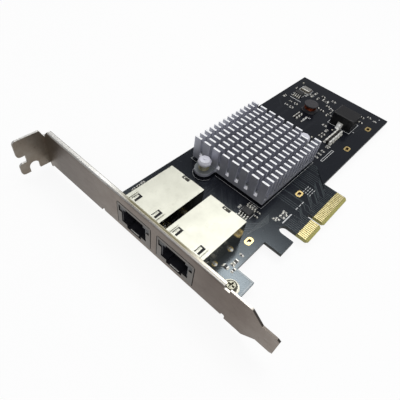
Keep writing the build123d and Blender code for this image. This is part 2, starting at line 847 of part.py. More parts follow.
def build_push_pin(name, place):
    # crowned head, plain shaft and a split barb below the board
    with BuildPart() as push_pin:
        with BuildSketch(Plane.XY.offset(pin_head_low_z)):
            with Locations(place):
                RegularPolygon(pin_head_radius, pin_head_sides)
        extrude(amount=pin_head_rim)
        with BuildSketch(Plane.XY.offset(pin_head_low_z + pin_head_rim)):
            with Locations(place):
                RegularPolygon(pin_head_radius, pin_head_sides)
        with BuildSketch(Plane.XY.offset(pin_head_low_z + pin_head_rim + pin_crown_height)):
            with Locations(place):
                RegularPolygon(pin_crown_radius, pin_head_sides)
        loft()
        with BuildSketch(Plane.XY.offset(pin_head_low_z + pin_head_rim + pin_crown_height)):
            with Locations(place):
                RegularPolygon(pin_nub_radius, pin_head_sides)
        extrude(amount=pin_nub_height)
        with BuildSketch(Plane.XY.offset(underside_z - plating)):
            with Locations(place):
                RegularPolygon(pin_shaft_radius, 16)
        extrude(amount=pin_head_low_z - underside_z + plating)
        with BuildSketch(Plane.XY.offset(underside_z - plating)):
            with Locations(place):
                RegularPolygon(barb_radius, 12)
        with BuildSketch(Plane.XY.offset(underside_z - plating - barb_length)):
            with Locations(place):
                RegularPolygon(barb_tip_radius, 12)
        loft()
        with BuildSketch(Plane.XY.offset(underside_z - plating - barb_length)):
            with Locations(place):
                Rectangle(3 * barb_radius, barb_slit)
        extrude(amount=barb_length * 0.8, mode=Mode.SUBTRACT)
    push_pin.part.label = f"push_pin_{name}"
    export_step(push_pin.part, f"parts/push_pin_{name}.step")


def build_pin_spring(name, place):
    # coil between the ear and the head of the pin
    low_z = ear_top_z + coil_wire / 2 + coil_end_gap
    high_z = pin_head_low_z - coil_wire / 2 - coil_end_gap
    coil_height = high_z - low_z
    with BuildPart() as pin_spring:
        with BuildLine() as coil:
            Polyline(*[
                (
                    place[0] + coil_radius * cos(2 * pi * step / coil_steps),
                    place[1] + coil_radius * sin(2 * pi * step / coil_steps),
                    low_z + coil_height * step / (coil_steps * coil_turns),
                )
                for step in range(int(coil_steps * coil_turns) + 1)
            ])
        with BuildSketch(Plane(origin=coil.line @ 0, z_dir=coil.line % 0)):
            RegularPolygon(coil_wire / 2, 6)
        sweep(transition=Transition.RIGHT)
    pin_spring.part.label = f"push_pin_spring_{name}"
    export_step(pin_spring.part, f"parts/push_pin_spring_{name}.step")


# Push pins with their springs
for pin_name, pin_place in push_pin_places.items():
    build_push_pin(pin_name, pin_place)
    build_pin_spring(pin_name, pin_place)


# Controller: substrate, moulded cap and thermal pad
with BuildPart() as controller_substrate:
    with BuildSketch():
        with Locations((sink_x, sink_y)):
            Rectangle(controller_size, controller_size)
    extrude(amount=substrate_height)
controller_substrate.part.label = "controller_substrate"
export_step(controller_substrate.part, "parts/controller_substrate.step")

with BuildPart() as controller_cap:
    with BuildSketch(Plane.XY.offset(substrate_top_z)):
        with Locations((sink_x, sink_y)):
            Rectangle(controller_size - 2 * cap_inset, controller_size - 2 * cap_inset)
    extrude(amount=cap_height)
controller_cap.part.label = "controller_cap"
export_step(controller_cap.part, "parts/controller_cap.step")

with BuildPart() as thermal_pad:
    with BuildSketch(Plane.XY.offset(cap_top_z)):
        with Locations((sink_x, sink_y)):
            Rectangle(pad_size, pad_size)
    extrude(amount=sink_low_z - cap_top_z)
thermal_pad.part.label = "thermal_pad"
export_step(thermal_pad.part, "parts/thermal_pad.step")


def build_chip(name, x, y, width, length, height, lead_reach):
    # moulded body with four gull-wing leads on each long side
    with BuildPart() as body:
        with BuildSketch(Plane.XY.offset(chip_standoff)):
            with Locations((x, y)):
                Rectangle(width, length)
        extrude(amount=height - chip_standoff)
        chamfer(body.faces().sort_by(Axis.Z)[-1].edges(), length=height * 0.15)
    body.part.label = f"{name}_body"
    export_step(body.part, f"parts/{name}_body.step")

    with BuildPart() as leads:
        for index in range(4):
            lead_y = y + lead_pitch * (index - 1.5)
            with BuildSketch(Plane.XZ.offset(-lead_y)):
                for side in [-1, 1]:
                    with BuildLine():
                        Polyline(
                            (x + side * width / 2, height / 2),
                            (x + side * (width / 2 + lead_reach * 0.4), height / 2),
                            (x + side * (width / 2 + lead_reach * 0.5), lead_sheet / 2),
                            (x + side * (width / 2 + lead_reach), lead_sheet / 2),
                        )
                    trace(line_width=lead_sheet)
            extrude(amount=lead_width / 2, both=True)
    leads.part.label = f"{name}_leads"
    export_step(leads.part, f"parts/{name}_leads.step")


# Memory and regulator chips
build_chip("flash", flash_x, flash_y, flash_width, flash_length, flash_height,
           flash_lead_reach)
build_chip("regulator", regulator_x, regulator_y, regulator_width, regulator_length,
           regulator_height, regulator_lead_reach)


# Quartz crystal: ceramic base and metal can
with BuildPart() as crystal_base:
    with BuildSketch():
        with Locations((crystal_x, crystal_y)):
            Rectangle(crystal_width, crystal_length)
    extrude(amount=crystal_base_height)
crystal_base.part.label = "crystal_base"
export_step(crystal_base.part, "parts/crystal_base.step")

with BuildPart() as crystal_can:
    with BuildSketch(Plane.XY.offset(crystal_base_height)):
        with Locations((crystal_x, crystal_y)):
            Rectangle(
                crystal_width - 2 * crystal_can_inset,
                crystal_length - 2 * crystal_can_inset,
            )
    extrude(amount=crystal_can_height)
    chamfer(crystal_can.edges().filter_by(Axis.Z), length=2 * crystal_can_inset)
    chamfer(crystal_can.faces().sort_by(Axis.Z)[-1].edges(), length=crystal_can_inset)
crystal_can.part.label = "crystal_can"
export_step(crystal_can.part, "parts/crystal_can.step")


# Drum inductor: base, spool and winding
with BuildPart() as drum_inductor_base:
    with BuildSketch():
        with Locations((drum_x, drum_y)):
            Rectangle(drum_base_size, drum_base_size)
    extrude(amount=drum_base_height)
    chamfer(drum_inductor_base.edges().filter_by(Axis.Z), length=drum_base_chamfer)
drum_inductor_base.part.label = "drum_inductor_base"
export_step(drum_inductor_base.part, "parts/drum_inductor_base.step")

drum_plane = Plane(origin=(drum_x, drum_y, drum_base_height), x_dir=(1, 0, 0), z_dir=(0, -1, 0))
with BuildPart() as drum_inductor_core:
    with BuildSketch(drum_plane):
        with BuildLine():
            Polyline(
                (0, 0),
                (drum_radius, 0),
                (drum_radius, drum_flange),
                (drum_core_radius, drum_flange),
                (drum_core_radius, drum_height - drum_flange),
                (drum_radius, drum_height - drum_flange),
                (drum_radius, drum_height),
                (0, drum_height),
                close=True,
            )
        make_face()
    revolve(axis=Axis((drum_x, drum_y, 0), (0, 0, 1)))
drum_inductor_core.part.label = "drum_inductor_core"
export_step(drum_inductor_core.part, "parts/drum_inductor_core.step")

with BuildPart() as drum_inductor_winding:
    winding_low = drum_flange + winding_gap
    winding_high = drum_height - drum_flange - winding_gap
    with BuildSketch(drum_plane) as winding_section:
        with BuildLine():
            Polyline(
                (drum_core_radius + winding_gap, winding_low),
                (drum_radius - winding_inset, winding_low),
                (drum_radius - winding_inset, winding_high),
                (drum_core_radius + winding_gap, winding_high),
                close=True,
            )
        make_face()
    revolve(axis=Axis((drum_x, drum_y, 0), (0, 0, 1)))
drum_inductor_winding.part.label = "drum_inductor_winding"
export_step(drum_inductor_winding.part, "parts/drum_inductor_winding.step")


# Power inductor: moulded block on two clip terminals
with BuildPart() as power_inductor_core:
    with BuildSketch(Plane.XY.offset(block_terminal_sheet)):
        with Locations((block_x, block_y)):
            Rectangle(block_length, block_width)
    extrude(amount=block_height - block_terminal_sheet)
    chamfer(power_inductor_core.edges().filter_by(Axis.Z), length=block_chamfer)
    chamfer(power_inductor_core.faces().sort_by(Axis.Z)[-1].edges(), length=block_chamfer / 2)
power_inductor_core.part.label = "power_inductor_core"
export_step(power_inductor_core.part, "parts/power_inductor_core.step")

with BuildPart() as power_inductor_terminals:
    with BuildSketch(Plane.XZ.offset(-block_y)):
        for side in [-1, 1]:
            outer_x = block_x + side * (block_length / 2 + block_terminal_sheet)
            foot_x = block_x + side * (block_length / 2 - block_terminal_foot)
            inner_x = block_x + side * block_length / 2
            with BuildLine():
                Polyline(
                    (foot_x, 0),
                    (outer_x, 0),
                    (outer_x, block_terminal_height),
                    (inner_x, block_terminal_height),
                    (inner_x, block_terminal_sheet),
                    (foot_x, block_terminal_sheet),
                    close=True,
                )
            make_face()
    extrude(amount=block_terminal_width / 2, both=True)
power_inductor_terminals.part.label = "power_inductor_terminals"
export_step(power_inductor_terminals.part, "parts/power_inductor_terminals.step")


def build_chip_parts(bodies_name, ends_name, layout, on_solder_side=False):
    # each chip part is a body between two plated ends, which stand slightly proud of it
    with BuildPart() as bodies:
        for (length, width, height, end), turn, places in layout:
            spots = [Location((x, y, 0), (0, 0, turn)) for x, y in places]
            with BuildSketch(Plane.XY.offset(underside_z if on_solder_side else 0)):
                with Locations(*spots):
                    Rectangle(length - 2 * end, width * 0.96)
            extrude(amount=-height * 0.96 if on_solder_side else height * 0.96)
    bodies.part.label = bodies_name
    export_step(bodies.part, f"parts/{bodies_name}.step")

    with BuildPart() as ends:
        for (length, width, height, end), turn, places in layout:
            spots = [Location((x, y, 0), (0, 0, turn)) for x, y in places]
            with BuildSketch(Plane.XY.offset(underside_z if on_solder_side else 0)):
                with Locations(*spots):
                    with Locations(((end - length) / 2, 0), ((length - end) / 2, 0)):
                        Rectangle(end, width)
            extrude(amount=-height if on_solder_side else height)
    ends.part.label = ends_name
    export_step(ends.part, f"parts/{ends_name}.step")


# Output capacitors in a row beside the power inductor
output_places = [(output_first_x + output_pitch * index, output_y) for index in range(output_count)]
build_chip_parts("output_capacitors", "output_capacitor_ends", [(output_chip, 90, output_places)])


# Small capacitors: size, turn from X and places
capacitor_layout = [
    (large_chip, 90, [(54.9, 49.7), (57.3, 49.7), (59.7, 49.7)]),
    (middle_chip, 90, [(65.9, 56.5), (61.1, 56.5), (61.6, 35.0), (86.0, 24.0), (81.0, 22.6)]),
    (middle_chip, 90, [(73.0, 46.3), (85.4, 49.4), (72.5, 42.9), (77.7, 39.9), (86.2, 42.8)]),
    (middle_chip, 0, [(71.3, 39.0), (84.8, 54.2), (80.8, 54.4), (81.2, 50.8), (67.6, 65.4)]),
    (small_chip, 90, [(-36.7, jack_side_y - 4.6), (-42.6, jack_side_y - 4.9)]),
    (small_chip, 90, [(65.5, 59.9), (61.0, 59.9), (-15.0, 22.9), (-17.5, 22.4)]),
    (small_chip, 90, [(-12.8, 16.2), (-11.6, 15.4), (-6.2, 15.4)]),
    (small_chip, 0, [(-44.6, 67.2), (-42.0, 67.3), (-39.4, 67.4), (78.4, 57.0), (81.4, 56.0)]),
    (small_chip, 0, [(80.3, 65.2), (75.0, 38.7)]),
]
build_chip_parts("small_capacitors", "small_capacitor_ends", capacitor_layout)


# Chip resistors: size, turn from X and places
resistor_layout = [
    (wide_chip, 90, [(82.6, 46.4)]),
    (large_chip, 90, [(-45.0, jack_side_y - 3.6)]),
    (large_chip, 0, [(-40.8, jack_side_y - 4.9)]),
    (middle_chip, 0, [(-44.2, jack_side_y - 6.6), (58.4, 32.0)]),
    (middle_chip, 90, [(54.3, 31.6), (51.7, 31.8), (89.2, 21.2), (79.0, 42.8)]),
    (middle_chip, 90, [(-9.3, 14.7), (-7.3, 14.7)]),
    (small_chip, 90, [(35.5, 24.6), (38.8, 24.6), (42.0, 24.6), (46.1, 24.6), (47.6, 24.6)]),
    (small_chip, 90, [(88.4, 17.4), (72.4, 36.6)]),
    (small_chip, 0, [(-18.2, 30.6), (-14.2, 28.9), (-14.2, 27.6), (-14.2, 26.3), (-14.2, 25.0)]),
    (small_chip, 0, [(54.9, 45.5), (57.2, 45.5), (59.5, 45.5)]),
]
build_chip_parts("chip_resistors", "chip_resistor_ends", resistor_layout)


# Decoupling capacitors on the solder side, under the controller
solder_side_places = []
for row_y in [sink_y - solder_side_row_offset, sink_y + solder_side_row_offset]:
    for index in range(solder_side_row_count):
        row_x = sink_x + solder_side_pitch * (index - (solder_side_row_count - 1) / 2)
        solder_side_places.append((row_x, row_y))
build_chip_parts("solder_side_capacitors", "solder_side_capacitor_ends",
                 [(middle_chip, 90, solder_side_places)], on_solder_side=True)
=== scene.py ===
import random
from math import cos, hypot, pi, sin

import bpy
from mathutils import Matrix, Vector


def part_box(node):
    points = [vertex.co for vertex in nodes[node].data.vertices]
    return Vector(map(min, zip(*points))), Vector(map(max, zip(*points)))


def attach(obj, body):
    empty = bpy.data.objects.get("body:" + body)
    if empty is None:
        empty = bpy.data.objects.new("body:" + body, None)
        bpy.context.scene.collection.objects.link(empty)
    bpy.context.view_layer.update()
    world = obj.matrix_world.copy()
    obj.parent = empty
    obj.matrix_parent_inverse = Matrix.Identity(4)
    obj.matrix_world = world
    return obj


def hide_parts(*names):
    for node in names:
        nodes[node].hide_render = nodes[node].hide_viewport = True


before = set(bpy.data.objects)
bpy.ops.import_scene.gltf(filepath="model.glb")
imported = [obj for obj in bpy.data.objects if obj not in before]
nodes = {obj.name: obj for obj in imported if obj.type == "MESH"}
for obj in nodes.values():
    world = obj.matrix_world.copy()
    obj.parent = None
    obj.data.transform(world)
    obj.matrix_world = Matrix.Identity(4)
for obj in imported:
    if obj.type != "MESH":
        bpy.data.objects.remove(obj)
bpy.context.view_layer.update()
scene = bpy.context.scene
MM = 0.001

# Places on the card, in millimetres as all sizes here
UNDERSIDE = -1.57
PLATE_FRONT_X = -59.7
FLANGE_REAR_X = -57.74
BOARD_LOW_Y = 12.4
JACK_LOW_Y = 28.35
JACK_PITCH = 21.1
JACKS_MIDDLE_Y = JACK_LOW_Y + JACK_PITCH / 2
SPRING_OFFSET = 5.3
CONTACT_TOP_Y = 5.4
CONTACT_XS = [-11.5 + index for index in range(11)] + [1.5 + index for index in range(21)]
SLOT_XS = (-29.5, 7.7, 53.9, 78.7)
SLOT_Y = 16.9
SINK_LOW = (-12.0, 24.0)
SINK_HIGH = (30.3, 64.0)
UPPER_PARTS = ("small_capacitor", "chip_resistor", "output_capacitor")
UNDER_PART = "solder_side_capacitor"


def box_of(name):
    # low and high corner of a CAD node
    return [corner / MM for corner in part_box(name)]


def middle_of(low, high):
    return ((low[0] + high[0]) / 2, (low[1] + high[1]) / 2)


def new_object(name, data):
    thing = bpy.data.objects.new(name, data)
    scene.collection.objects.link(thing)
    return thing


# Looks
def linear(value):
    # display value 0-255 to a linear share
    share = value / 255.0
    return share / 12.92 if share < 0.04045 else ((share + 0.055) / 1.055) ** 2.4


def tone(red, green, blue):
    return (linear(red), linear(green), linear(blue), 1.0)


class Look:
    # one principled material with its own small node toolbox
    def __init__(self, name, **sockets):
        self.material = bpy.data.materials.new(name)
        self.material.use_nodes = True
        self.tree = self.material.node_tree
        self.tree.nodes.clear()
        self.surface = self.node("BsdfPrincipled")
        self.output = self.node("OutputMaterial")
        self.link(self.surface.outputs[0], self.output.inputs[0])
        for socket, value in sockets.items():
            self.surface.inputs[socket.replace("_", " ")].default_value = value
        self.place = self.node("TexCoord").outputs["Object"]

    def node(self, kind):
        return self.tree.nodes.new("ShaderNode" + kind)

    def link(self, source, target):
        self.tree.links.new(source, target)

    def put(self, value, socket):
        # links a node's output, or sets a number or colour
        if isinstance(value, bpy.types.NodeSocket):
            self.link(value, socket)
        else:
            socket.default_value = value

    def noise(self, size, detail=3.0, stretch=(1, 1, 1), rough=0.55):
        # clouds of one size; stretch makes them finer along an axis
        mapping = self.node("Mapping")
        self.link(self.place, mapping.inputs["Vector"])
        mapping.inputs["Scale"].default_value = [s / size / MM for s in stretch]
        texture = self.node("TexNoise")
        self.link(mapping.outputs[0], texture.inputs["Vector"])
        for key, value in (("Scale", 1.0), ("Detail", detail), ("Roughness", rough)):
            texture.inputs[key].default_value = value
        return texture.outputs["Fac"]

    def part(self, vector, axis):
        split = self.node("SeparateXYZ")
        self.link(vector, split.inputs[0])
        return split.outputs[axis]

    def along(self, axis):
        # place on the card along an axis
        return self.math("MULTIPLY", self.part(self.place, axis), 1 / MM)

    def past(self, axis, start, end):
        # 0 at one place along an axis, 1 at another
        return self.spread(self.along(axis), start, end)

    def waves(self, pitch, axis):
        return self.math("SINE", self.math("MULTIPLY", self.part(self.place, axis), 2 * pi / pitch / MM))

    def facing(self, axis):
        return self.part(self.node("NewGeometry").outputs["Normal"], axis)

    def square_to(self, axis):
        # 1 on faces square to the axis, 0 on faces along it
        return self.math("ABSOLUTE", self.facing(axis))

    def math(self, operation, first, second=0.0):
        node = self.node("Math")
        node.operation = operation
        self.put(first, node.inputs[0])
        self.put(second, node.inputs[1])
        return node.outputs[0]

    def product(self, first, *others):
        for other in others:
            first = self.math("MULTIPLY", first, other)
        return first

    def distance(self, value, place):
        return self.math("ABSOLUTE", self.math("SUBTRACT", value, place))

    def spread(self, value, low, high, out_low=0.0, out_high=1.0):
        # maps low..high to out_low..out_high and stays within them
        node = self.node("MapRange")
        self.link(value, node.inputs["Value"])
        for key, number in zip(("From Min", "From Max", "To Min", "To Max"),
                               (low, high, out_low, out_high)):
            node.inputs[key].default_value = number
        return node.outputs[0]

    def ramp(self, value, *stops):
        node = self.node("ValToRGB")
        self.link(value, node.inputs[0])
        band = node.color_ramp
        while len(band.elements) < len(stops):
            band.elements.new(0.5)
        for element, (place, colour) in zip(band.elements, stops):
            element.position = place
            element.color = colour
        return node.outputs[0]

    def mix(self, factor, first, second, blend="MIX"):
        node = self.node("Mix")
        node.data_type = "RGBA"
        node.blend_type = blend
        # the colour sockets of this node are its seventh and eighth
        for index, value in ((0, factor), (6, first), (7, second)):
            self.put(value, node.inputs[index])
        return node.outputs[2]

    def colour(self, source):
        self.link(source, self.surface.inputs["Base Color"])

    def roughness(self, *sources):
        # one source, or the sum of two
        total = self.math("ADD", *sources) if len(sources) > 1 else sources[0]
        self.link(total, self.surface.inputs["Roughness"])

    def bump(self, height, depth, strength=1.0, after=None):
        node = self.node("Bump")
        node.inputs["Strength"].default_value = strength
        node.inputs["Distance"].default_value = depth * MM
        self.link(height, node.inputs["Height"])
        if after is not None:
            self.link(after, node.inputs["Normal"])
        self.link(node.outputs[0], self.surface.inputs["Normal"])
        return node.outputs[0]

    def grain(self, size, low, high, depth):
        # fine clouds in the roughness, from low to high, and in the relief
        fine = self.noise(size, 2.0)
        self.roughness(self.spread(fine, 0.2, 0.8, low, high))
        self.bump(fine, depth)


def metal_look(name, dark, light, rough, size, grain=0.15, stretch=(1, 1, 1),
               depth=0.004, shine=1.0):
    look = Look(name, Metallic=shine)
    broad = look.noise(size, 4.0)
    look.colour(look.ramp(broad, (0.3, dark), (0.72, light)))
    fine = look.noise(grain, 2.0, stretch)
    look.roughness(look.spread(broad, 0.25, 0.75, -0.05, 0.06),
                   look.spread(fine, 0.2, 0.8, rough - 0.05, rough + 0.06))
    look.bump(fine, depth)
    return look


def plastic_look(name, dark, light, rough, size=2.0, grain=0.12, depth=0.006, **sockets):
    look = Look(name, **sockets)
    look.colour(look.ramp(look.noise(size, 4.0), (0.25, dark), (0.8, light)))
    look.grain(grain, rough - 0.08, rough + 0.08, depth)
    return look


def glassy_look(name, colour, rough):
    look = Look(name, IOR=1.5, Transmission_Weight=0.75)
    pale = (*[min(1.0, share * 1.25) for share in colour[:3]], 1)
    look.colour(look.ramp(look.noise(0.8), (0.3, colour), (0.8, pale)))
    look.grain(0.1, rough - 0.04, rough + 0.06, 0.003)
    return look


def chip_part_look(name, top_dark, top_light, side):
    # a chip part whose top has its own colour
    look = Look(name)
    top = look.ramp(look.noise(0.9), (0.3, top_dark), (0.75, top_light))
    look.colour(look.mix(look.spread(look.square_to("Z"), 0.4, 0.7), side, top))
    look.grain(0.08, 0.30, 0.5, 0.004)
    return look


def board_look():
    # the mask stops above the contacts of the two tongues
    mask_low_y = 5.6
    short_tongue_x = -12.3
    foot_rear_x = -36.0
    foot_high_y = 24.0
    look = Look("solder_mask", Specular_Tint=(0.80, 0.93, 1.0, 1.0))
    mask = look.ramp(look.noise(14.0), (0.3, (0.0058, 0.0062, 0.0096, 1)),
                     (0.75, (0.0090, 0.0098, 0.0140, 1)))
    # cut edges show the glass laminate in thin layers
    fibre = look.noise(0.25, 2.0, (0.25, 0.25, 3))
    grain = look.product(look.spread(look.waves(0.22, "Z"), -1, 1), fibre)
    side = look.spread(look.square_to("Z"), 0.99, 0.97)
    dark_edge = look.mix(grain, (0.018, 0.017, 0.014, 1), (0.055, 0.052, 0.036, 1))
    skin = look.mix(side, mask, dark_edge)
    # the tongues have no mask round their contacts, and pale laminate on bevels and edges
    tongue = look.past("X", short_tongue_x, short_tongue_x + 0.1)
    bare = look.product(look.past("Y", mask_low_y + 0.02, mask_low_y - 0.04), tongue)
    bare_side = look.product(side, look.past("Y", mask_low_y, mask_low_y - 0.3), tongue)
    between = look.mix(fibre, tone(46, 43, 20), tone(76, 71, 38))
    pale_edge = look.mix(grain, tone(158, 152, 84), tone(190, 184, 118))
    skin = look.mix(bare, skin, between)
    look.colour(look.mix(look.product(look.math("MAXIMUM", bare, bare_side), side), skin, pale_edge))
    fine = look.noise(0.2, 2.0)
    look.roughness(look.spread(fine, 0.2, 0.8, 0.15, 0.25),
                   look.product(look.math("MAXIMUM", side, bare), 0.3))
    # the foot beside the bracket shines more
    foot = look.product(look.past("X", foot_rear_x, foot_rear_x - 11.0),
                        look.past("Y", foot_high_y, foot_high_y - 9.0))
    look.link(look.spread(foot, 0, 1, 0.36, 0.84), look.surface.inputs["Specular IOR Level"])
    weave = look.product(look.waves(1.1, "X"), look.waves(1.1, "Y"))
    look.bump(fine, 0.0030, 0.5, look.bump(weave, 0.0035, 0.5))
    return look


def plate_colour(look, broad):
    # brown steel with dull spots, made lighter and darker in bands along the plate
    low_y, high_y = -15.0, 105.0
    warm = look.ramp(broad, (0.30, tone(122, 111, 103)), (0.55, tone(138, 129, 121)),
                     (0.78, tone(150, 144, 139)))
    spots = look.spread(look.noise(1.6, 4.0), 0.60, 0.72)
    base = look.mix(look.product(spots, 0.35), warm, tone(96, 86, 76))
    bands_along_plate = look.ramp(look.past("Y", low_y, high_y), (0.0, tone(255, 255, 255)),
                     (0.14, tone(206, 200, 196)), (0.24, tone(196, 190, 187)), (0.60, tone(238, 236, 234)),
                     (0.76, tone(204, 201, 199)), (0.92, tone(176, 172, 168)), (0.985, tone(236, 236, 230)))
    return look.mix(1.0, base, bands_along_plate, "MULTIPLY")


def lit_flange_colour(look):
    # top faces with painted light: a painted highlight along the bend beside the jacks and the foot, a
    # painted shaded band behind it by the jacks, and a pale painted highlight over drawn streaks at the
    # tab's end
    across = look.past("X", PLATE_FRONT_X, FLANGE_REAR_X)
    jack_run_lit_and_shaded = look.ramp(across, (0.0, tone(120, 116, 110)), (0.14, tone(206, 203, 200)),
                         (0.34, tone(168, 164, 154)), (0.60, tone(112, 107, 86)),
                         (0.80, tone(92, 88, 66)), (0.92, tone(176, 172, 150)))
    foot_run_lit = look.ramp(across, (0.0, tone(130, 126, 120)), (0.2, tone(212, 208, 202)),
                         (0.5, tone(186, 181, 170)), (0.75, tone(206, 202, 190)))
    streaks = look.noise(0.30, 3.0, (1, 0.02, 1))
    tab_run_lit = look.mix(look.spread(streaks, 0.25, 0.6), tone(226, 224, 214), tone(252, 251, 247))
    low_run = look.mix(look.past("Y", 26.0, 14.0), jack_run_lit_and_shaded, foot_run_lit)
    flange = look.mix(look.past("Y", 52.0, 66.0), low_run, tab_run_lit)
    # painted shade: a dark line where the flange ends
    rear_edge_shade = look.product(look.past("X", FLANGE_REAR_X - 0.26, FLANGE_REAR_X - 0.12),
                             look.past("X", FLANGE_REAR_X + 0.24, FLANGE_REAR_X + 0.14))
    flange = look.mix(look.product(rear_edge_shade, 0.75), flange, tone(92, 86, 74))
    # painted shade darkens the tongue's tapers
    return look.mix(look.past("Y", -3.6, -2.6), tone(104, 98, 92), flange)


def bracket_look():
    jack_top_z = 12.8
    jacks_reach = 20.0
    dimple_y, dimple_z = -11.2, 6.8
    look = Look("bracket_steel", Metallic=1.0)
    broad = look.noise(9.0, 5.0, rough=0.65)
    # faces square to Z, the top edge and the flange, take the flange's colour with its painted light
    edge = look.spread(look.square_to("Z"), 0.25, 0.8)
    skin = look.mix(edge, plate_colour(look, broad), lit_flange_colour(look))
    # the cut walls round the jacks lie in shade
    walls = look.product(look.spread(look.square_to("X"), 0.6, 0.3),
                         look.past("Z", jack_top_z + 0.2, jack_top_z),
                         look.spread(look.distance(look.along("Y"), JACKS_MIDDLE_Y),
                                     jacks_reach + 0.2, jacks_reach))
    look.colour(look.mix(walls, skin, tone(30, 28, 27)))
    grain = look.noise(0.35, 2.0, (1, 0.07, 1))
    look.roughness(look.spread(broad, 0.2, 0.8, 0.02, 0.12), look.spread(grain, 0.2, 0.8, 0.24, 0.38))
    # shallow round dimple in the tongue
    across = look.math("SUBTRACT", look.along("Z"), dimple_z)
    lengthwise = look.math("SUBTRACT", look.along("Y"), dimple_y)
    reach = look.math("SQRT", look.math("ADD", look.product(across, across),
                                        look.product(lengthwise, lengthwise)))
    first = look.bump(look.spread(reach, 0.5, 1.0), 0.10, 0.8)
    second = look.bump(grain, 0.004, 0.5, first)
    look.bump(look.noise(0.10, 2.0), 0.003, 0.5, second)
    return look


def heatsink_look():
    floor_z = 3.8
    fin_top_z = 13.1
    front_x = SINK_LOW[0]
    look = Look("extruded_aluminium")
    base = look.ramp(look.noise(7.0, 4.0), (0.3, tone(176, 177, 188)), (0.72, tone(198, 200, 209)))
    level = look.spread(look.facing("Z"), 0.6, 0.9)
    # painted shade darkens the channel floors inside the field, and a painted highlight lightens them at
    # its front edge
    floors = look.product(level, look.past("Z", floor_z + 0.9, floor_z + 0.1))
    base = look.mix(floors, base, tone(128, 132, 133))
    front = look.product(floors, look.past("X", front_x + 2.2, front_x + 1.6),
                         look.past("X", front_x - 0.1, front_x + 0.1))
    base = look.mix(front, base, tone(252, 252, 254))
    # the sawn fin tops are paler, with a painted highlight that makes them brighter than the drawn sides
    lit_tops = look.product(level, look.past("Z", fin_top_z - 0.7, fin_top_z - 0.3))
    look.colour(look.mix(lit_tops, base, tone(252, 253, 254)))
    # the painted highlights are less metallic, so they stay white
    pale = look.math("MAXIMUM", lit_tops, front)
    look.link(look.spread(pale, 0, 1, 0.62, 0.08), look.surface.inputs["Metallic"])
    lines = look.noise(0.16, 2.0, (0.05, 1, 1))
    fine = look.noise(0.09, 2.0)
    look.roughness(look.spread(lines, 0.2, 0.8, 0.40, 0.54), look.spread(fine, 0.2, 0.8, 0.0, 0.06))
    look.bump(fine, 0.003, 0.5, look.bump(lines, 0.006, 0.6))
    return look


def shield_look():
    front_x = -58.75
    window_rear_x = -50.0
    tongue_low_z = 11.5
    window_reach = 1.4
    look = Look("tin_plated_shield", Metallic=1.0)
    broad = look.noise(7.0, 4.0)
    bright = look.ramp(broad, (0.3, tone(202, 202, 189)), (0.72, tone(218, 218, 205)))
    smudge = look.spread(look.noise(2.2, 5.0), 0.58, 0.75)
    bright = look.mix(look.product(smudge, 0.22), bright, tone(170, 168, 152))
    # upright walls get painted shade, darker than the tops
    walls = look.spread(look.square_to("Z"), 0.6, 0.3)
    bright = look.mix(walls, bright, tone(122, 120, 107))
    # the cut walls round the spring tongues lie in shade
    across = look.along("Y")
    for middle in (JACKS_MIDDLE_Y, JACK_PITCH / 2, SPRING_OFFSET):
        across = look.distance(across, middle)
    shade = look.product(look.spread(across, window_reach + 0.1, window_reach),
                         look.past("Z", tongue_low_z - 0.1, tongue_low_z),
                         look.past("X", window_rear_x + 0.5, window_rear_x), walls)
    bright = look.mix(shade, bright, tone(14, 14, 12))
    # painted shade darkens the front of the cover round the mouth, and more its walls within the bracket's
    # cutout
    face = look.ramp(broad, (0.3, tone(82, 78, 74)), (0.7, tone(100, 95, 90)))
    mouth_shade = look.mix(look.spread(look.square_to("X"), 0.4, 0.8), tone(52, 50, 46), face)
    look.colour(look.mix(look.past("X", front_x + 0.2, front_x), bright, mouth_shade))
    grain = look.noise(0.18, 2.0, (0.12, 1, 1))
    top = look.spread(look.square_to("Z"), 0.5, 0.9)
    look.roughness(look.spread(grain, 0.2, 0.8, 0.17, 0.27), look.product(top, 0.26))
    look.bump(look.noise(5.0, 2.0), 0.05, 0.35, look.bump(grain, 0.004, 0.6))
    return look


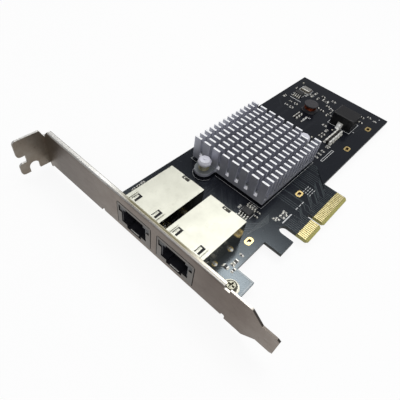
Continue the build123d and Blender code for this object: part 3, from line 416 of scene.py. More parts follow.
looks = {
    "board": board_look(),
    "bracket_steel": bracket_look(),
    "heatsink_metal": heatsink_look(),
    "gold": metal_look("gold_plating", tone(216, 200, 138), tone(236, 224, 172), 0.36, 1.5,
                       grain=0.12, stretch=(1, 0.1, 1), depth=0.003),
    "ring_gold": metal_look("gold_ring", tone(228, 198, 124), tone(246, 224, 164), 0.32, 1.0),
    "tinned_pad": metal_look("tinned_pad", tone(186, 183, 168), tone(216, 213, 196), 0.34, 0.8,
                             grain=0.2, depth=0.010, shine=0.4),
    "solder": metal_look("solder", tone(236, 236, 230), tone(250, 250, 246), 0.34, 0.5,
                         grain=0.09, depth=0.010, shine=0.25),
    "barrel": metal_look("hole_wall", tone(52, 34, 18), tone(88, 60, 30), 0.5, 0.8),
    "screw_steel": metal_look("screw_steel", tone(122, 121, 108), tone(162, 160, 144), 0.36, 1.2),
    "spring_steel": metal_look("spring_steel", tone(150, 145, 116), tone(192, 186, 154), 0.36, 0.8,
                               depth=0.005, shine=0.75),
    "shield_metal": shield_look(),
    "can_metal": metal_look("crystal_can", tone(206, 204, 196), tone(230, 228, 220), 0.24, 1.2,
                            depth=0.003),
    "tin": metal_look("solder_tin", tone(228, 227, 220), tone(248, 247, 241), 0.32, 0.5,
                      grain=0.09, depth=0.008, shine=0.35),
    "copper": metal_look("enamelled_copper", tone(92, 42, 26), tone(146, 70, 42), 0.34, 0.9),
    "nylon": plastic_look("white_nylon", tone(204, 204, 214), tone(226, 226, 234), 0.42, 1.6,
                          Coat_Weight=0.15),
    "substrate": plastic_look("chip_substrate", tone(22, 44, 30), tone(32, 58, 40), 0.40, 1.5),
    "chip_body": plastic_look("chip_epoxy", tone(26, 26, 27), tone(40, 40, 41), 0.52, 1.2,
                              grain=0.07, depth=0.010),
    "thermal_pad": plastic_look("thermal_pad", tone(120, 130, 140), tone(150, 158, 165), 0.7),
    "base_ceramic": plastic_look("crystal_ceramic", tone(70, 60, 50), tone(92, 80, 66), 0.55),
    "ferrite": plastic_look("drum_ferrite", tone(40, 39, 42), tone(62, 60, 64), 0.55, 0.9,
                            grain=0.10, depth=0.02),
    "inductor_body": plastic_look("inductor_block", tone(13, 13, 14), tone(24, 24, 25), 0.33, 1.8,
                                  grain=0.10, depth=0.014),
    "capacitor_body": chip_part_look("capacitor_ceramic", tone(26, 24, 22), tone(48, 43, 38),
                                     tone(36, 32, 28)),
    "resistor_body": chip_part_look("resistor_film", tone(16, 16, 18), tone(30, 30, 32),
                                    tone(176, 174, 168)),
    "jack_plastic": plastic_look("jack_plastic", tone(26, 26, 30), tone(42, 42, 48), 0.34, 3.0,
                                 grain=0.10, depth=0.008),
    "light_pipe": glassy_look("light_pipe", tone(18, 17, 16), 0.3),
    "potting": plastic_look("potting_resin", tone(24, 24, 25), tone(38, 37, 37), 0.5),
    "silk": plastic_look("silk_ink", tone(206, 208, 208), tone(232, 233, 232), 0.55, 0.6,
                         grain=0.06),
    "trace": plastic_look("mask_over_copper", (0.034, 0.046, 0.050, 1), (0.060, 0.078, 0.084, 1),
                          0.24, 3.0, grain=0.2, depth=0.003),
    "faint_trace": plastic_look("covered_copper", (0.010, 0.012, 0.017, 1), (0.018, 0.021, 0.027, 1),
                                0.24, 3.0, grain=0.2, depth=0.003, Specular_IOR_Level=0.36),
    # near-black look for sheets of painted shadow
    "shadow_sheet": plastic_look("painted_shadow", (0.004, 0.004, 0.005, 1), (0.010, 0.010, 0.012, 1), 0.7),
    "lamp_lug": plastic_look("lamp_lug", tone(34, 33, 22), tone(62, 60, 38), 0.4),
}

node_slots = {
    "board": "pcb",
    "bracket_steel": "bracket",
    "heatsink_metal": "heatsink",
    "gold": "edge_contacts",
    "ring_gold": "plated_slots jack_1_contacts jack_2_contacts",
    "tinned_pad": "screw_pads",
    "screw_steel": "bracket_screws",
    "spring_steel": "push_pin_spring_front push_pin_spring_rear",
    "shield_metal": "jack_1_shield jack_2_shield",
    "can_metal": "crystal_can",
    "tin": "flash_leads regulator_leads power_inductor_terminals output_capacitor_ends "
           "small_capacitor_ends chip_resistor_ends solder_side_capacitor_ends jack_1_pins jack_2_pins",
    "copper": "drum_inductor_winding",
    "nylon": "push_pin_front push_pin_rear",
    "substrate": "controller_substrate",
    "chip_body": "controller_cap flash_body regulator_body",
    "thermal_pad": "thermal_pad",
    "base_ceramic": "crystal_base",
    "ferrite": "drum_inductor_core drum_inductor_base",
    "inductor_body": "power_inductor_core",
    "capacitor_body": "output_capacitors small_capacitors solder_side_capacitors",
    "resistor_body": "chip_resistors",
    "jack_plastic": "jack_1_housing jack_2_housing",
    "light_pipe": "jack_1_light_pipes jack_2_light_pipes",
    "potting": "jack_1_magnetics jack_2_magnetics",
}
for slot, names in node_slots.items():
    for name in names.split():
        mesh = nodes[name].data
        mesh.materials.clear()
        mesh.materials.append(looks[slot].material)


def round_edges(piece, width, segments, angle=0.6):
    bevel = piece.modifiers.new("edges", "BEVEL")
    bevel.width = width * MM
    bevel.segments = segments
    bevel.limit_method = "ANGLE"
    bevel.angle_limit = angle


def soften(name, width, segments, angle=0.6):
    # rounds a CAD node's sharp edges for the picture; its mesh stays as it is
    weld = nodes[name].modifiers.new("weld", "WELD")
    weld.merge_threshold = 0.002 * MM
    round_edges(nodes[name], width, segments, angle)


for width, segments, names in (
        (0.10, 2, "bracket flash_body regulator_body power_inductor_core"),
        (0.10, 1, "heatsink"),
        (0.06, 2, "jack_1_shield jack_2_shield"),
        (0.08, 2, "bracket_screws drum_inductor_core drum_inductor_base"),
        (0.42, 5, "crystal_can")):
    for name in names.split():
        soften(name, width, segments)
for kind in (*UPPER_PARTS, UNDER_PART):
    soften(kind + "s", 0.045, 2)
    soften(kind + "_ends", 0.045, 2)
for name in ("push_pin_front", "push_pin_rear"):
    # the moulded heads keep their flat facets
    soften(name, 0.05, 1, 0.5)
    facets = nodes[name].modifiers.new("facets", "EDGE_SPLIT")
    facets.split_angle = 0.42


# Forms
def on_circle(centre, radius, angle):
    return (centre[0] + radius * cos(angle), centre[1] + radius * sin(angle))


def half_circle(centre, radius, start, count):
    # points of a half circle from an angle in degrees
    return [on_circle(centre, radius, (start + 180 * step / count) * pi / 180) for step in range(count + 1)]


def ring_faces(rows, count, closed=False):
    # faces between rings of as many points; closed joins the last ring to the first
    faces = []
    for row in range(rows if closed else rows - 1):
        here, there = row * count, (row + 1) % rows * count
        for step in range(count):
            after = (step + 1) % count
            faces.append((here + step, here + after, there + after, there + step))
    return faces


def end_faces(rows, count):
    # faces that close the first and the last ring
    return [tuple(reversed(range(count))), tuple(range((rows - 1) * count, rows * count))]


class Form:
    # collects faces in millimetres for one piece
    def __init__(self):
        self.points = []
        self.faces = []

    def add(self, points, faces):
        base = len(self.points)
        self.points.extend(points)
        self.faces.extend([tuple(base + index for index in face) for face in faces])

    def block(self, low, high):
        (x0, y0, z0), (x1, y1, z1) = low, high
        self.add([(x0, y0, z0), (x1, y0, z0), (x1, y1, z0), (x0, y1, z0),
                  (x0, y0, z1), (x1, y0, z1), (x1, y1, z1), (x0, y1, z1)],
                 end_faces(2, 4) + ring_faces(2, 4))

    def ribbon(self, path, width, low, high, closed=False):
        # flat strip of one width along a path in XY, with mitred corners
        count = len(path)
        points = []
        for index, (x, y) in enumerate(path):
            steps = []
            if index or closed:
                steps.append((x - path[index - 1][0], y - path[index - 1][1]))
            if index + 1 < count or closed:
                after = path[(index + 1) % count]
                steps.append((after[0] - x, after[1] - y))
            steps = [(run / hypot(run, rise), rise / hypot(run, rise)) for run, rise in steps]
            normal = (-sum(step[1] for step in steps), sum(step[0] for step in steps))
            size = hypot(*normal)
            normal = (normal[0] / size, normal[1] / size)
            lean = -steps[0][1] * normal[0] + steps[0][0] * normal[1]
            reach = width / 2 / max(lean, 0.3)
            left = (x + normal[0] * reach, y + normal[1] * reach)
            right = (x - normal[0] * reach, y - normal[1] * reach)
            points += [(*left, low), (*right, low), (*right, high), (*left, high)]
        faces = ring_faces(count, 4, closed)
        if not closed:
            faces += end_faces(count, 4)
        self.add(points, faces)

    def outline(self, low, high, width, base, top, cut=0.0):
        # closed rectangular line, with cut corners where asked
        (x0, y0), (x1, y1) = low, high
        if cut:
            path = [(x0 + cut, y0), (x1 - cut, y0), (x1, y0 + cut), (x1, y1 - cut),
                    (x1 - cut, y1), (x0 + cut, y1), (x0, y1 - cut), (x0, y0 + cut)]
        else:
            path = [(x0, y0), (x1, y0), (x1, y1), (x0, y1)]
        self.ribbon(path, width, base, top, closed=True)

    def lathe(self, centre, profile, count, closed=False):
        # profile of (radius, height) turned about the upright axis through centre
        points = []
        for radius, height in profile:
            for step in range(count):
                points.append((*on_circle(centre, radius, 2 * pi * step / count), centre[2] + height))
        faces = ring_faces(len(profile), count, closed)
        if not closed:
            # an end that narrows to a point has no face
            ends = zip(end_faces(len(profile), count), (profile[0][0], profile[-1][0]))
            faces += [face for face, radius in ends if radius]
        self.add(points, faces)

    def tube(self, path, radius, count):
        # round wire along a path that never runs upright
        path = [Vector(spot) for spot in path]
        rows = len(path)
        points = []
        for index, spot in enumerate(path):
            along = (path[min(index + 1, rows - 1)] - path[max(index - 1, 0)]).normalized()
            side = along.cross(Vector((0, 0, 1))).normalized()
            over = side.cross(along)
            for step in range(count):
                a = 2 * pi * step / count
                points.append(tuple(spot + side * (radius * cos(a)) + over * (radius * sin(a))))
        self.add(points, ring_faces(rows, count) + end_faces(rows, count))

    def piece(self, name, slot, look, smooth=False, edge=0.0):
        mesh = bpy.data.meshes.new(name)
        mesh.from_pydata([tuple(c * MM for c in point) for point in self.points], [], self.faces)
        mesh.validate()
        if smooth:
            mesh.shade_smooth()
        mesh.materials.append(looks[look].material)
        piece = new_object(name, mesh)
        if edge:
            round_edges(piece, edge, 2)
        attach(piece, "root")
        return piece


def islands(name):
    # low and high corners of a CAD node's separate solids
    mesh = nodes[name].data
    spots = [tuple(round(c * 1e6) for c in vertex.co) for vertex in mesh.vertices]
    groups = {spot: {spot} for spot in spots}
    for polygon in mesh.polygons:
        for index in polygon.vertices:
            group = groups[spots[polygon.vertices[0]]]
            other = groups[spots[index]]
            if other is not group:
                group |= other
                groups.update((spot, group) for spot in other)
    boxes = {}
    for vertex, spot in zip(mesh.vertices, spots):
        low, high = boxes.setdefault(id(groups[spot]), ([9e9] * 3, [-9e9] * 3))
        for k in range(3):
            low[k] = min(low[k], vertex.co[k] / MM)
            high[k] = max(high[k], vertex.co[k] / MM)
    return sorted(boxes.values())


# Springs and winding
def coil_path(centre, radius, low, high, turns, steps=28):
    total = int(turns * steps)
    flat_share = 0.12
    path = []
    for index in range(total + 1):
        a = 2 * pi * index / steps
        # the end turns lie flat
        share = min(1.0, max(0.0, (index / total - flat_share) / (1 - 2 * flat_share)))
        path.append((*on_circle(centre, radius, a), low + (high - low) * share))
    return path


def push_pin_spring(place):
    wire = 0.19
    node = "push_pin_spring_" + place
    low, high = box_of(node)
    form = Form()
    form.tube(coil_path(middle_of(low, high), 2.2, low.z + wire, high.z - wire, 4.6), wire, 10)
    spring = form.piece("coil_spring_" + place, "spring_steel", "spring_steel", True)
    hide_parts(node)


def drum_winding():
    # two layers of enamelled wire over a solid ring
    wire = 0.15
    low, high = box_of("drum_inductor_winding")
    drum_x, drum_y = middle_of(low, high)
    outer = (high.x - low.x) / 2
    inner, core = outer - 0.6, 2.0
    form = Form()
    for layer in range(2):
        path = coil_path((drum_x, drum_y), outer - 0.17 - 2 * wire * layer, low.z + 0.17, high.z - 0.17,
                         6.0 - layer, 32)
        form.tube(path, wire, 8)
    form.lathe((drum_x, drum_y, 0), [(core, low.z), (inner, low.z), (inner, high.z), (core, high.z)],
               32, closed=True)
    winding = form.piece("wound_wire", "copper", "copper", True)
    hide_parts("drum_inductor_winding")


for place in ("front", "rear"):
    push_pin_spring(place)
drum_winding()


# Solder of the chip parts and chips
LAND_TOP = 0.03
solder = Form()
lands = Form()


def fillet(low, high, run, way, foot, rise, base=0.0, lift=1.0):
    # concave solder wedge outside one end of a box, along axis run; lift is -1 on the underside
    across = 1 - run
    edge = high[run] if way > 0 else low[run]
    middle = (low[across] + high[across]) / 2
    half = (high[across] - low[across]) / 2
    steps = 5
    profile = [(0.0, 0.0)]
    for step in range(steps + 1):
        a = pi / 2 * step / steps
        profile.append((foot * (1 - sin(a)), rise * (1 - cos(a))))
    points = []
    for side in (-half * 0.92, half * 0.92):
        for out, height in profile:
            spot = [0.0, 0.0, base + lift * height]
            spot[run] = edge + way * out
            spot[across] = middle + side * (1 - 0.25 * out / foot)
            points.append(tuple(spot))
    size = len(profile)
    faces = [tuple(range(size)), tuple(reversed(range(size, 2 * size)))]
    for step in range(size):
        nxt = (step + 1) % size
        faces.append((step, step + size, nxt + size, nxt))
    solder.add(points, faces)


def chip_solder(kind, base=0.0, lift=1.0):
    # a fillet and a land at each end cap, outward from its own body
    margin = 0.07
    bodies = [middle_of(*body) for body in islands(kind + "s")]
    for low, high in islands(kind + "_ends"):
        x, y = middle_of(low, high)
        body = min(bodies, key=lambda spot: hypot(spot[0] - x, spot[1] - y))
        lean = (x - body[0], y - body[1])
        run = 0 if abs(lean[0]) > abs(lean[1]) else 1
        way = 1 if lean[run] > 0 else -1
        height = high[2] - low[2]
        foot = 0.26 + 0.12 * height
        fillet(low, high, run, way, foot, height * 0.62, base, lift)
        land_low = [low[0] - margin, low[1] - margin]
        land_high = [high[0] + margin, high[1] + margin]
        if way > 0:
            land_high[run] += foot
        else:
            land_low[run] -= foot
        z0, z1 = sorted((base, base + lift * LAND_TOP))
        lands.block((*land_low, z0), (*land_high, z1))


def lead_solder(kind, reach):
    # a fillet and a long land at each lead of a chip
    middle_x = middle_of(*box_of(kind + "_body"))[0]
    for low, high in islands(kind + "_leads"):
        way = 1 if low[0] > middle_x else -1
        fillet(low, high, 0, way, 0.35, 0.2)
        x0, x1 = (high[0] - 0.9, high[0] + reach) if way > 0 else (low[0] - reach, low[0] + 0.9)
        lands.block((x0, low[1] - 0.08, 0), (x1, high[1] + 0.08, LAND_TOP))


for kind in UPPER_PARTS:
    chip_solder(kind)
chip_solder(UNDER_PART, UNDERSIDE, -1.0)
lead_solder("flash", 0.55)
lead_solder("regulator", 1.25)
solder.piece("solder_fillets", "tin", "solder", True)
lands.piece("solder_lands", "tinned_pad", "tinned_pad")


def terminal_solder():
    # solder that climbs the two terminals of the power inductor
    low, high = box_of("power_inductor_core")
    middle_y = (low.y + high.y) / 2 + 0.3
    rise, half, inset = 2.6, 1.45, 0.02
    rows = ((0.0, 2.0, 0.9), (0.2, 1.5, 1.0), (0.5, 1.1, 0.95), (0.85, 0.75, 0.7), (1.0, 0.3, 0.3))
    form = Form()
    for way, face_x in ((-1, low.x), (1, high.x)):
        points = []
        for share, out, width in rows:
            inner_x = face_x - way * inset
            outer_x = face_x + way * out
            z = LAND_TOP + rise * share
            points += [(inner_x, middle_y - half * width, z),
                       (outer_x, middle_y - half * width * 0.75, z),
                       (face_x + way * out * 1.08, middle_y, z),
                       (outer_x, middle_y + half * width * 0.75, z),
                       (inner_x, middle_y + half * width, z)]
        size = len(points) // len(rows)
        ends = [tuple(reversed(face)) for face in end_faces(len(rows), size)]
        form.add(points, ends + ring_faces(len(rows), size))
    form.piece("terminal_solder", "tin", "solder", True)


# Joints of the jacks, below the board and at the covers' tails
def joint(form, x, y, radius, height):
    # concave cone of solder that climbs a pin below the board
    profile = [(radius, 0.0)]
    for share, lift in ((0.66, 0.16), (0.42, 0.40), (0.30, 0.72), (0.24, 1.0)):
        profile.append((radius * share, -height * lift))
    profile.append((0.0, -height * 1.04))
    form.lathe((x, y, UNDERSIDE), profile, 12)


shield_boxes = [box_of("jack_1_shield"), box_of("jack_2_shield")]
covers = [(low, high, (low.y + high.y) / 2) for low, high in shield_boxes]
TAIL_SETBACKS = (12.7, 22.0)


def solder_joints():
    form = Form()
    for name in ("jack_1_pins", "jack_2_pins"):
        for low, high in islands(name):
            joint(form, *middle_of(low, high), 0.78, 0.95)
    # each tail is broad, so three cones run together on it
    for low, high in shield_boxes:
        for setback in TAIL_SETBACKS:
            for wall_y in (low.y + 0.13, high.y - 0.13):
                for step in (-0.45, 0.0, 0.45):
                    joint(form, low.x + setback + step, wall_y, 0.85, 0.9)
    form.piece("solder_joints", "tin", "tin", True)


def tail_solder():
    # a drop of solder where each cover's tail comes through its ring
    form = Form()
    for low, high in shield_boxes:
        for setback in TAIL_SETBACKS:
            for y in (low.y - 0.1, high.y + 0.1):
                form.lathe((low.x + setback, y, 0),
                           [(0.72, LAND_TOP), (0.62, 0.14), (0.40, 0.30), (0.0, 0.36)], 14)
    form.piece("tail_solder", "tin", "solder", True)


solder_joints()
tail_solder()
terminal_solder()


# Covers of the jacks
def cover_ribs():
    # pressed ribs beside the top windows, and a round stud in the rear notch
    rib_offset = 7.15
    form = Form()
    for low, high, middle_y in covers:
        for y in (middle_y - rib_offset, middle_y + rib_offset):
            form.block((low.x + 3.4, y - 0.22, high.z - 0.05), (low.x + 8.6, y + 0.22, high.z + 0.10))
        form.lathe((high.x - 1.0, middle_y + 0.8, high.z),
                   [(0.42, -1.0), (0.42, -0.5), (0.28, -0.4), (0.0, -0.38)], 16)
    form.piece("cover_ribs", "shield_metal", "shield_metal", edge=0.09)


def lamp_lugs():
    # dull lug beside the stud
    form = Form()
    for low, high, middle_y in covers:
        form.block((high.x - 1.55, middle_y - 0.9, high.z - 1.0),
                   (high.x - 0.5, middle_y + 0.1, high.z - 0.35))
    form.piece("lamp_lugs", "potting", "lamp_lug", edge=0.1)


def window_shadow_sheets():
    # dark sheets of painted shadow under the windows of the covers, for their unlit depth
    form = Form()
    for low, high, middle_y in covers:
        for y in (middle_y - SPRING_OFFSET, middle_y + SPRING_OFFSET):
            form.block((low.x + 4.5, y - 1.25, high.z - 0.42), (low.x + 8.5, y + 1.25, high.z - 0.34))
    form.piece("window_shadow_sheets", "jack_plastic", "shadow_sheet")


def mouth_lips():
    # bright lip below each plug's mouth
    form = Form()
    for low, high, middle_y in covers:
        form.block((low.x + 0.32, middle_y - 2.2, 0.56), (low.x + 0.62, middle_y + 2.2, 0.82))
    form.piece("mouth_lips", "shield_metal", "tin", edge=0.05)


cover_ribs()
lamp_lugs()
window_shadow_sheets()
mouth_lips()

# Silkscreen
INK = (-0.01, 0.022)
silk = Form()
part_boxes = islands("small_capacitors") + islands("chip_resistors")
part_centres = [middle_of(low, high) for low, high in part_boxes]


def silk_line(*path, width):
    silk.ribbon(path, width, *INK)


def silk_bar(x0, x1, y, width=0.17):
    silk_line((x0, y), (x1, y), width=width)


def silk_box(low, high, reach_x, reach_y, width, cut=0.0):
    silk.outline((low[0] - reach_x, low[1] - reach_y), (high[0] + reach_x, high[1] + reach_y), width,
                 *INK, cut)


def silk_dot(x, y, radius=0.28):
    silk.lathe((x, y, 0), [(radius, INK[0]), (radius, INK[1])], 12)


def heatsink_outline():
    # thin line round the heatsink's base and its two ears
    gap = 0.45
    ear = 4.2 + gap
    x0, y0 = SINK_LOW[0] - gap, SINK_LOW[1] - gap
    x1, y1 = SINK_HIGH[0] + gap, SINK_HIGH[1] + gap
    front, rear = [middle_of(*box_of("push_pin_spring_" + place)) for place in ("front", "rear")]
    silk_line((x0, front[1] - ear), (x0, y0), (x1, y0), (x1, rear[1] - ear), width=0.09)
    silk_line((x1, rear[1] + ear), (x1, y1), (x0, y1), (x0, front[1] + ear), width=0.10)
    silk_line(*half_circle(front, ear, 90, 18), width=0.08)
    silk_line(*half_circle(rear, ear, -90, 18), width=0.08)


def chip_marks():
    # lines and a dot beside the two chips, frames of the inductor and the crystal
    for name in ("flash_body", "regulator_body"):
        low, high = box_of(name)
        for y in (low.y - 0.45, high.y + 0.45):
            silk_bar(low.x - 0.1, high.x + 0.1, y)
        silk_dot(low.x - 1.9, high.y + 0.3)
    silk_line((69.7, 55.7), (69.7, 63.2), width=0.34)
    silk_box(*box_of("power_inductor_core"), 0.6, 0.6, 0.22)
    low, high = box_of("crystal_base")
    silk_box(low, high, 0.45, 0.45, 0.18, 0.6)
    silk_dot(low.x - 1.1, low.y - 0.4)


def part_outlines():
    # thin outlines of the parts on the foot and by the short tongue, and of some others
    for (low, high), (x, y) in zip(part_boxes, part_centres):
        lengthwise = high[0] - low[0] > high[1] - low[1]
        reach = (0.75, 0.28) if lengthwise else (0.28, 0.75)
        on_foot = x < -33 and y < 18
        by_tongue = -14 < x < -4 and y < 18
        if on_foot or by_tongue or (x + y) % 3 < 1.2:
            silk_box(low, high, *reach, 0.08)


def output_bar():
    # one broad tinned bar joins the output capacitors on their upper side
    low, high = box_of("output_capacitors")
    form = Form()
    form.block((low.x - 0.3, high.y - 0.1, -0.01), (high.x + 0.3, high.y + 1.15, 0.05))
    form.piece("output_bar", "tinned_pad", "solder", edge=0.02)


def plain_marks():
    # bare bars, an empty panel, the foot's border, pin ticks, dots and polarity marks
    silk_bar(-12.0, -5.0, BOARD_LOW_Y + 0.35, 0.5)
    silk.outline((35.0, 20.8), (46.5, 21.8), 0.2, *INK)
    silk_bar(54.5, 59.8, 45.3, 0.5)
    silk_line((-58.2, 4.9), (-42.9, 4.9), (-42.9, 12.0), width=0.16)
    for x in (-1.4, 1.2, 3.4):
        silk_bar(x, x + 1.6, BOARD_LOW_Y + 0.5, 0.3)
    for row in range(4):
        for column in range(3):
            x = 10.0 + 1.9 * column
            silk_bar(x, x + 1.2, 13.0 + 1.15 * row, 0.22)
    for x, y in ((92.3, 16.3), (69.1, 21.1), (65.2, 56.8), (60.3, 56.7)):
        silk_dot(x, y, 0.35)
    for x, y, way in ((78.9, 40.6, 1), (60.4, 44.0, -1)):
        silk_line((x - 0.7 * way, y - 0.6), (x + 0.7 * way, y), (x - 0.7 * way, y + 0.6), width=0.2)


heatsink_outline()
chip_marks()
part_outlines()
output_bar()
plain_marks()
silk.piece("silkscreen", "board", "silk")

# Traces and covered vias under the mask
fingers = Form()
mask = Form()
tented = Form()


def trace(form, *path, width=0.2, under=False):
    low, high = (UNDERSIDE - 0.014, UNDERSIDE + 0.01) if under else (-0.01, 0.014)
    form.ribbon(path, width, low, high)


def via(x, y, radius=0.30, under=False):
    base, way = (UNDERSIDE, -1) if under else (0.0, 1)
    profile = [(radius, -0.01), (radius, 0.012), (radius * 0.7, 0.024), (0.0, 0.020)]
    tented.lathe((x, y, base), [(reach, height * way) for reach, height in profile], 10)


def contact_runs():
    tongue_rear_x = 21.6
    stub_rear_x = -4.4
    slot_x = SLOT_XS[1]
    slot_clearance = 2.7
    for index, x in enumerate(CONTACT_XS):
        if index % 7 == 6:
            # ground contacts end in a via
            trace(fingers, (x, CONTACT_TOP_Y), (x, 8.2), width=0.4)
            via(x, 8.4, 0.34)
            continue
        if x < stub_rear_x:
            end_y = 11.4 - 0.3 * (index % 3)
            trace(fingers, (x, CONTACT_TOP_Y), (x, end_y))
            via(x, end_y + 0.2, 0.26)
            continue
        turn_y = 7.9 + 0.75 * ((index // 2) % 3) + 0.45 * (index % 2)
        # the run stays inside the tongue until it is past the board's lower edge
        turn_y = max(turn_y, BOARD_LOW_Y + 0.5 - (tongue_rear_x - x))
        end_x = 9.2 + (x - 5.0) * 1.22
        past_slot = end_x - slot_x
        if abs(past_slot) < slot_clearance:
            end_x = slot_x + (2.75 if past_slot > 0 else -2.75) + 0.28 * past_slot
        trace(fingers, (x, CONTACT_TOP_Y), (x, turn_y), (end_x, turn_y + abs(end_x - x)),
              (end_x, SINK_LOW[1] + 0.4), width=0.24)


def leg_runs():
    # slanted runs past the leg
    for index in range(7):
        x = -30.5 + 1.3 * index
        y = 19.4 - 0.4 * index
        trace(fingers, (x, 23.6), (x, 22.6), (x + 3.2 + 0.4 * index, y), (-12.4 - 0.5 * index, y),
              width=0.16)


def jack_runs():
    # pairs between the jacks and the controller
    start_x, end_x, span = -31.0, -12.6, 16.5
    for index in range(16):
        jack, lane = divmod(index, 8)
        second = index % 2
        start_y = JACK_LOW_Y + JACK_PITCH * jack - 6.6 + 1.75 * lane + 0.5 * second
        end_y = 35.0 + 1.2 * index + 0.35 * second
        lead = 3.0 + 0.5 * lane
        slope = min(abs(end_y - start_y), span - lead)
        y = start_y + (slope if end_y > start_y else -slope)
        trace(mask, (start_x, start_y), (start_x + lead, start_y), (start_x + lead + slope, y), (end_x, y),
              width=0.17)


def supply_runs():
    # broader supply lines behind the controller, three side by side
    for x0, y0, x1, y1 in ((31.5, 40.0, 50.0, 36.0), (31.5, 46.0, 60.0, 40.0), (31.5, 53.0, 57.0, 56.0),
                           (48.0, 60.0, 72.0, 65.4), (77.0, 29.0, 90.0, 36.0), (60.0, 20.5, 88.0, 18.6)):
        lean = abs(y1 - y0) / 2
        middle_x = (x0 + x1) / 2
        for shift in (0.0, 0.55, 1.1):
            trace(mask, (x0, y0 + shift), (middle_x - lean, y0 + shift), (middle_x + lean, y1 + shift),
                  (x1, y1 + shift), width=0.22)
        via(x1 + 0.5, y1 + 0.3)


def scattered_vias():
    clearance = 1.6
    places = random.Random(11)
    for index in range(150):
        x = places.uniform(-30, 93)
        y = places.uniform(14.5, 66.5)
        if all(hypot(x - part_x, y - part_y) >= clearance for part_x, part_y in part_centres):
            via(x, y, 0.26)


def edge_vias():
    # stitching along the top edge and the tail, both faces
    top_y = 67.6
    tail_x = 94.1
    top_row = [(x, top_y) for x in range(-24, 94, 6)]
    tail_row = [(tail_x, y) for y in range(16, 66, 5)]
    for spot in top_row + tail_row:
        via(*spot)
        via(*spot, under=True)


def underside_runs():
    for index in range(24):
        x = -28.0 + 4.6 * index
        y0 = 20.0 + 3.0 * (index % 5)
        y1 = 48.0 + 2.5 * (index % 6)
        middle_y = (y0 + y1) / 2
        lean = 2.0 + (index % 3)
        trace(mask, (x, y0), (x, middle_y), (x + lean, middle_y + lean), (x + lean, y1), width=0.22,
              under=True)
        via(x, y0 - 0.3, under=True)
        via(x + lean, y1 + 0.3, under=True)
    for x in CONTACT_XS:
        end_y = 9.0 + (x % 3)
        trace(mask, (x, CONTACT_TOP_Y), (x, end_y), width=0.17, under=True)
        via(x, end_y + 0.3, 0.26, under=True)


contact_runs()
leg_runs()
fingers.piece("finger_traces", "board", "trace")
jack_runs()
supply_runs()
scattered_vias()
edge_vias()
underside_runs()
mask.piece("mask_traces", "board", "faint_trace")
tented.piece("tented_vias", "board", "faint_trace")


# Hole walls, rings and test pads
HOLE_LENGTH = 2.14
HOLE_WIDTH = 1.24


def oblong(x, length, width):
    # round-ended outline along X, on the row of the tooling slots
    radius = width / 2
    return (half_circle((x + length / 2 - radius, SLOT_Y), radius, -90, 6)
            + half_circle((x - length / 2 + radius, SLOT_Y), radius, 90, 6))


def slot_sleeves(name, look, length, width, low, high):
    # a ring of rectangular section round each tooling slot
    form = Form()
    for x in SLOT_XS:
        outer = oblong(x, length, width)
        inner = oblong(x, HOLE_LENGTH, HOLE_WIDTH)
        section = ((outer, low), (outer, high), (inner, high), (inner, low))
        points = [(*spot, z) for outline, z in section for spot in outline]
        form.add(points, ring_faces(4, len(outer), closed=True))
    form.piece(name, "gold", look)


def test_pads():
    form = Form()
    for z, way, places in (
            (0, 1, ((40.3, 66.0), (88.8, 65.6), (-26.0, 65.8), (61.8, 30.2), (47.5, 34.5), (84.2, 33.0))),
            (UNDERSIDE, -1, ((38.0, 15.6), (-24.0, 62.4), (90.0, 20.0), (64.0, 66.0), (20.0, 66.4),
                             (3.0, 19.5)))):
        for x, y in places:
            form.lathe((x, y, z), [(0.5, 0.0), (0.5, 0.03 * way), (0.0, 0.03 * way)], 18)
    form.piece("test_pads", "tinned_pad", "tinned_pad")


def screw_threads():
    # threads below the bracket's ears
    form = Form()
    for low, high in islands("bracket_screws"):
        form.tube(coil_path(middle_of(low, high), 1.38, low[2] + 0.15, low[2] + 1.0, 2.6, 24), 0.11, 6)
    form.piece("screw_threads", "screw_steel", "screw_steel", True)


slot_sleeves("hole_plating", "barrel", 2.26, 1.36, UNDERSIDE - 0.03, 0.03)
slot_sleeves("underside_rings", "ring_gold", 4.0, 2.7, UNDERSIDE - 0.05, UNDERSIDE - 0.005)
test_pads()
screw_threads()


# Camera, floor and light
MIDDLE = (0.0, 0.03, 0.0)
BARBS_Z = -4.25


def photo_camera():
    # place, angle and lens of the photograph, solved from the card's standard sizes
    lens = bpy.data.cameras.new("camera")
    lens.sensor_width = 36.0
    lens.sensor_fit = "HORIZONTAL"
    lens.lens = 33.040
    lens.shift_x = -0.01167
    lens.shift_y = 0.02765
    lens.clip_start = 0.002
    right = (0.666543, -0.735690, 0.120331)
    up = (0.522800, 0.576389, 0.628058)
    back = (-0.531413, -0.355719, 0.768807)
    turn = Matrix((right, up, back)).transposed().to_4x4()
    camera = new_object("camera", lens)
    camera.matrix_world = Matrix.Translation((-0.1112296, -0.0146468, 0.1157822)) @ turn
    scene.camera = camera


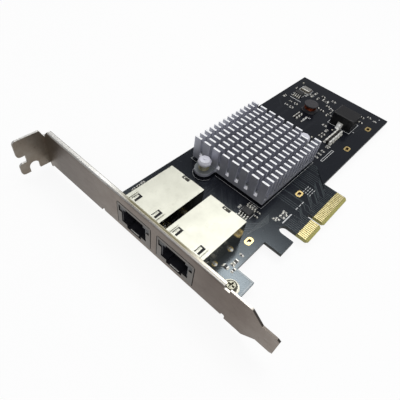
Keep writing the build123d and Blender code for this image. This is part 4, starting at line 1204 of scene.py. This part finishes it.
def pale_floor():
    mesh = bpy.data.meshes.new("floor")
    mesh.from_pydata([(-3, -3, 0), (3, -3, 0), (3, 3, 0), (-3, 3, 0)], [], [(0, 1, 2, 3)])
    floor = new_object("floor", mesh)
    floor.location.z = BARBS_Z * MM
    paper = Look("pale_floor", Roughness=0.9, Specular_IOR_Level=0.1)
    paper.colour(paper.ramp(paper.noise(60.0), (0.2, (0.90, 0.90, 0.90, 1)), (0.8, (0.93, 0.93, 0.93, 1))))
    # seen directly or mirrored it glows, so that the paper stays white and keeps the shadow
    rays = paper.node("LightPath").outputs
    seen = paper.math("MAXIMUM", paper.math("MAXIMUM", rays["Is Camera Ray"], rays["Is Glossy Ray"]),
                      rays["Is Transmission Ray"])
    glow = paper.node("Emission")
    blend = paper.node("MixShader")
    paper.link(paper.product(seen, 0.90), blend.inputs[0])
    paper.link(paper.surface.outputs[0], blend.inputs[1])
    paper.link(glow.outputs[0], blend.inputs[2])
    paper.link(blend.outputs[0], paper.output.inputs[0])
    mesh.materials.append(paper.material)


def grey_world():
    world = bpy.data.worlds.new("studio")
    world.use_nodes = True
    world.node_tree.nodes["Background"].inputs["Color"].default_value = (0.27, 0.27, 0.28, 1)
    scene.world = world


def soft_lamp(name, distance, height, turn, size, power):
    # lamp in metres and watts, at an elevation and azimuth in degrees from the card's middle
    h, a = height * pi / 180, turn * pi / 180
    place = Vector((MIDDLE[0] + distance * cos(h) * cos(a), MIDDLE[1] + distance * cos(h) * sin(a),
                    MIDDLE[2] + distance * sin(h)))
    light = bpy.data.lights.new(name, "AREA")
    light.shape = "RECTANGLE"
    light.size, light.size_y = size
    light.energy = power
    lamp = new_object(name, light)
    lamp.location = place
    lamp.rotation_euler = (Vector(MIDDLE) - place).to_track_quat("-Z", "Y").to_euler()


photo_camera()
pale_floor()
grey_world()
soft_lamp("overhead", 0.62, 70, 28, (0.80, 0.42), 1.9)
soft_lamp("glint", 0.60, 61, 19, (0.11, 0.11), 0.36)
soft_lamp("fill", 0.70, 52, 222, (0.55, 0.50), 1.5)
scene.view_settings.view_transform = "Standard"
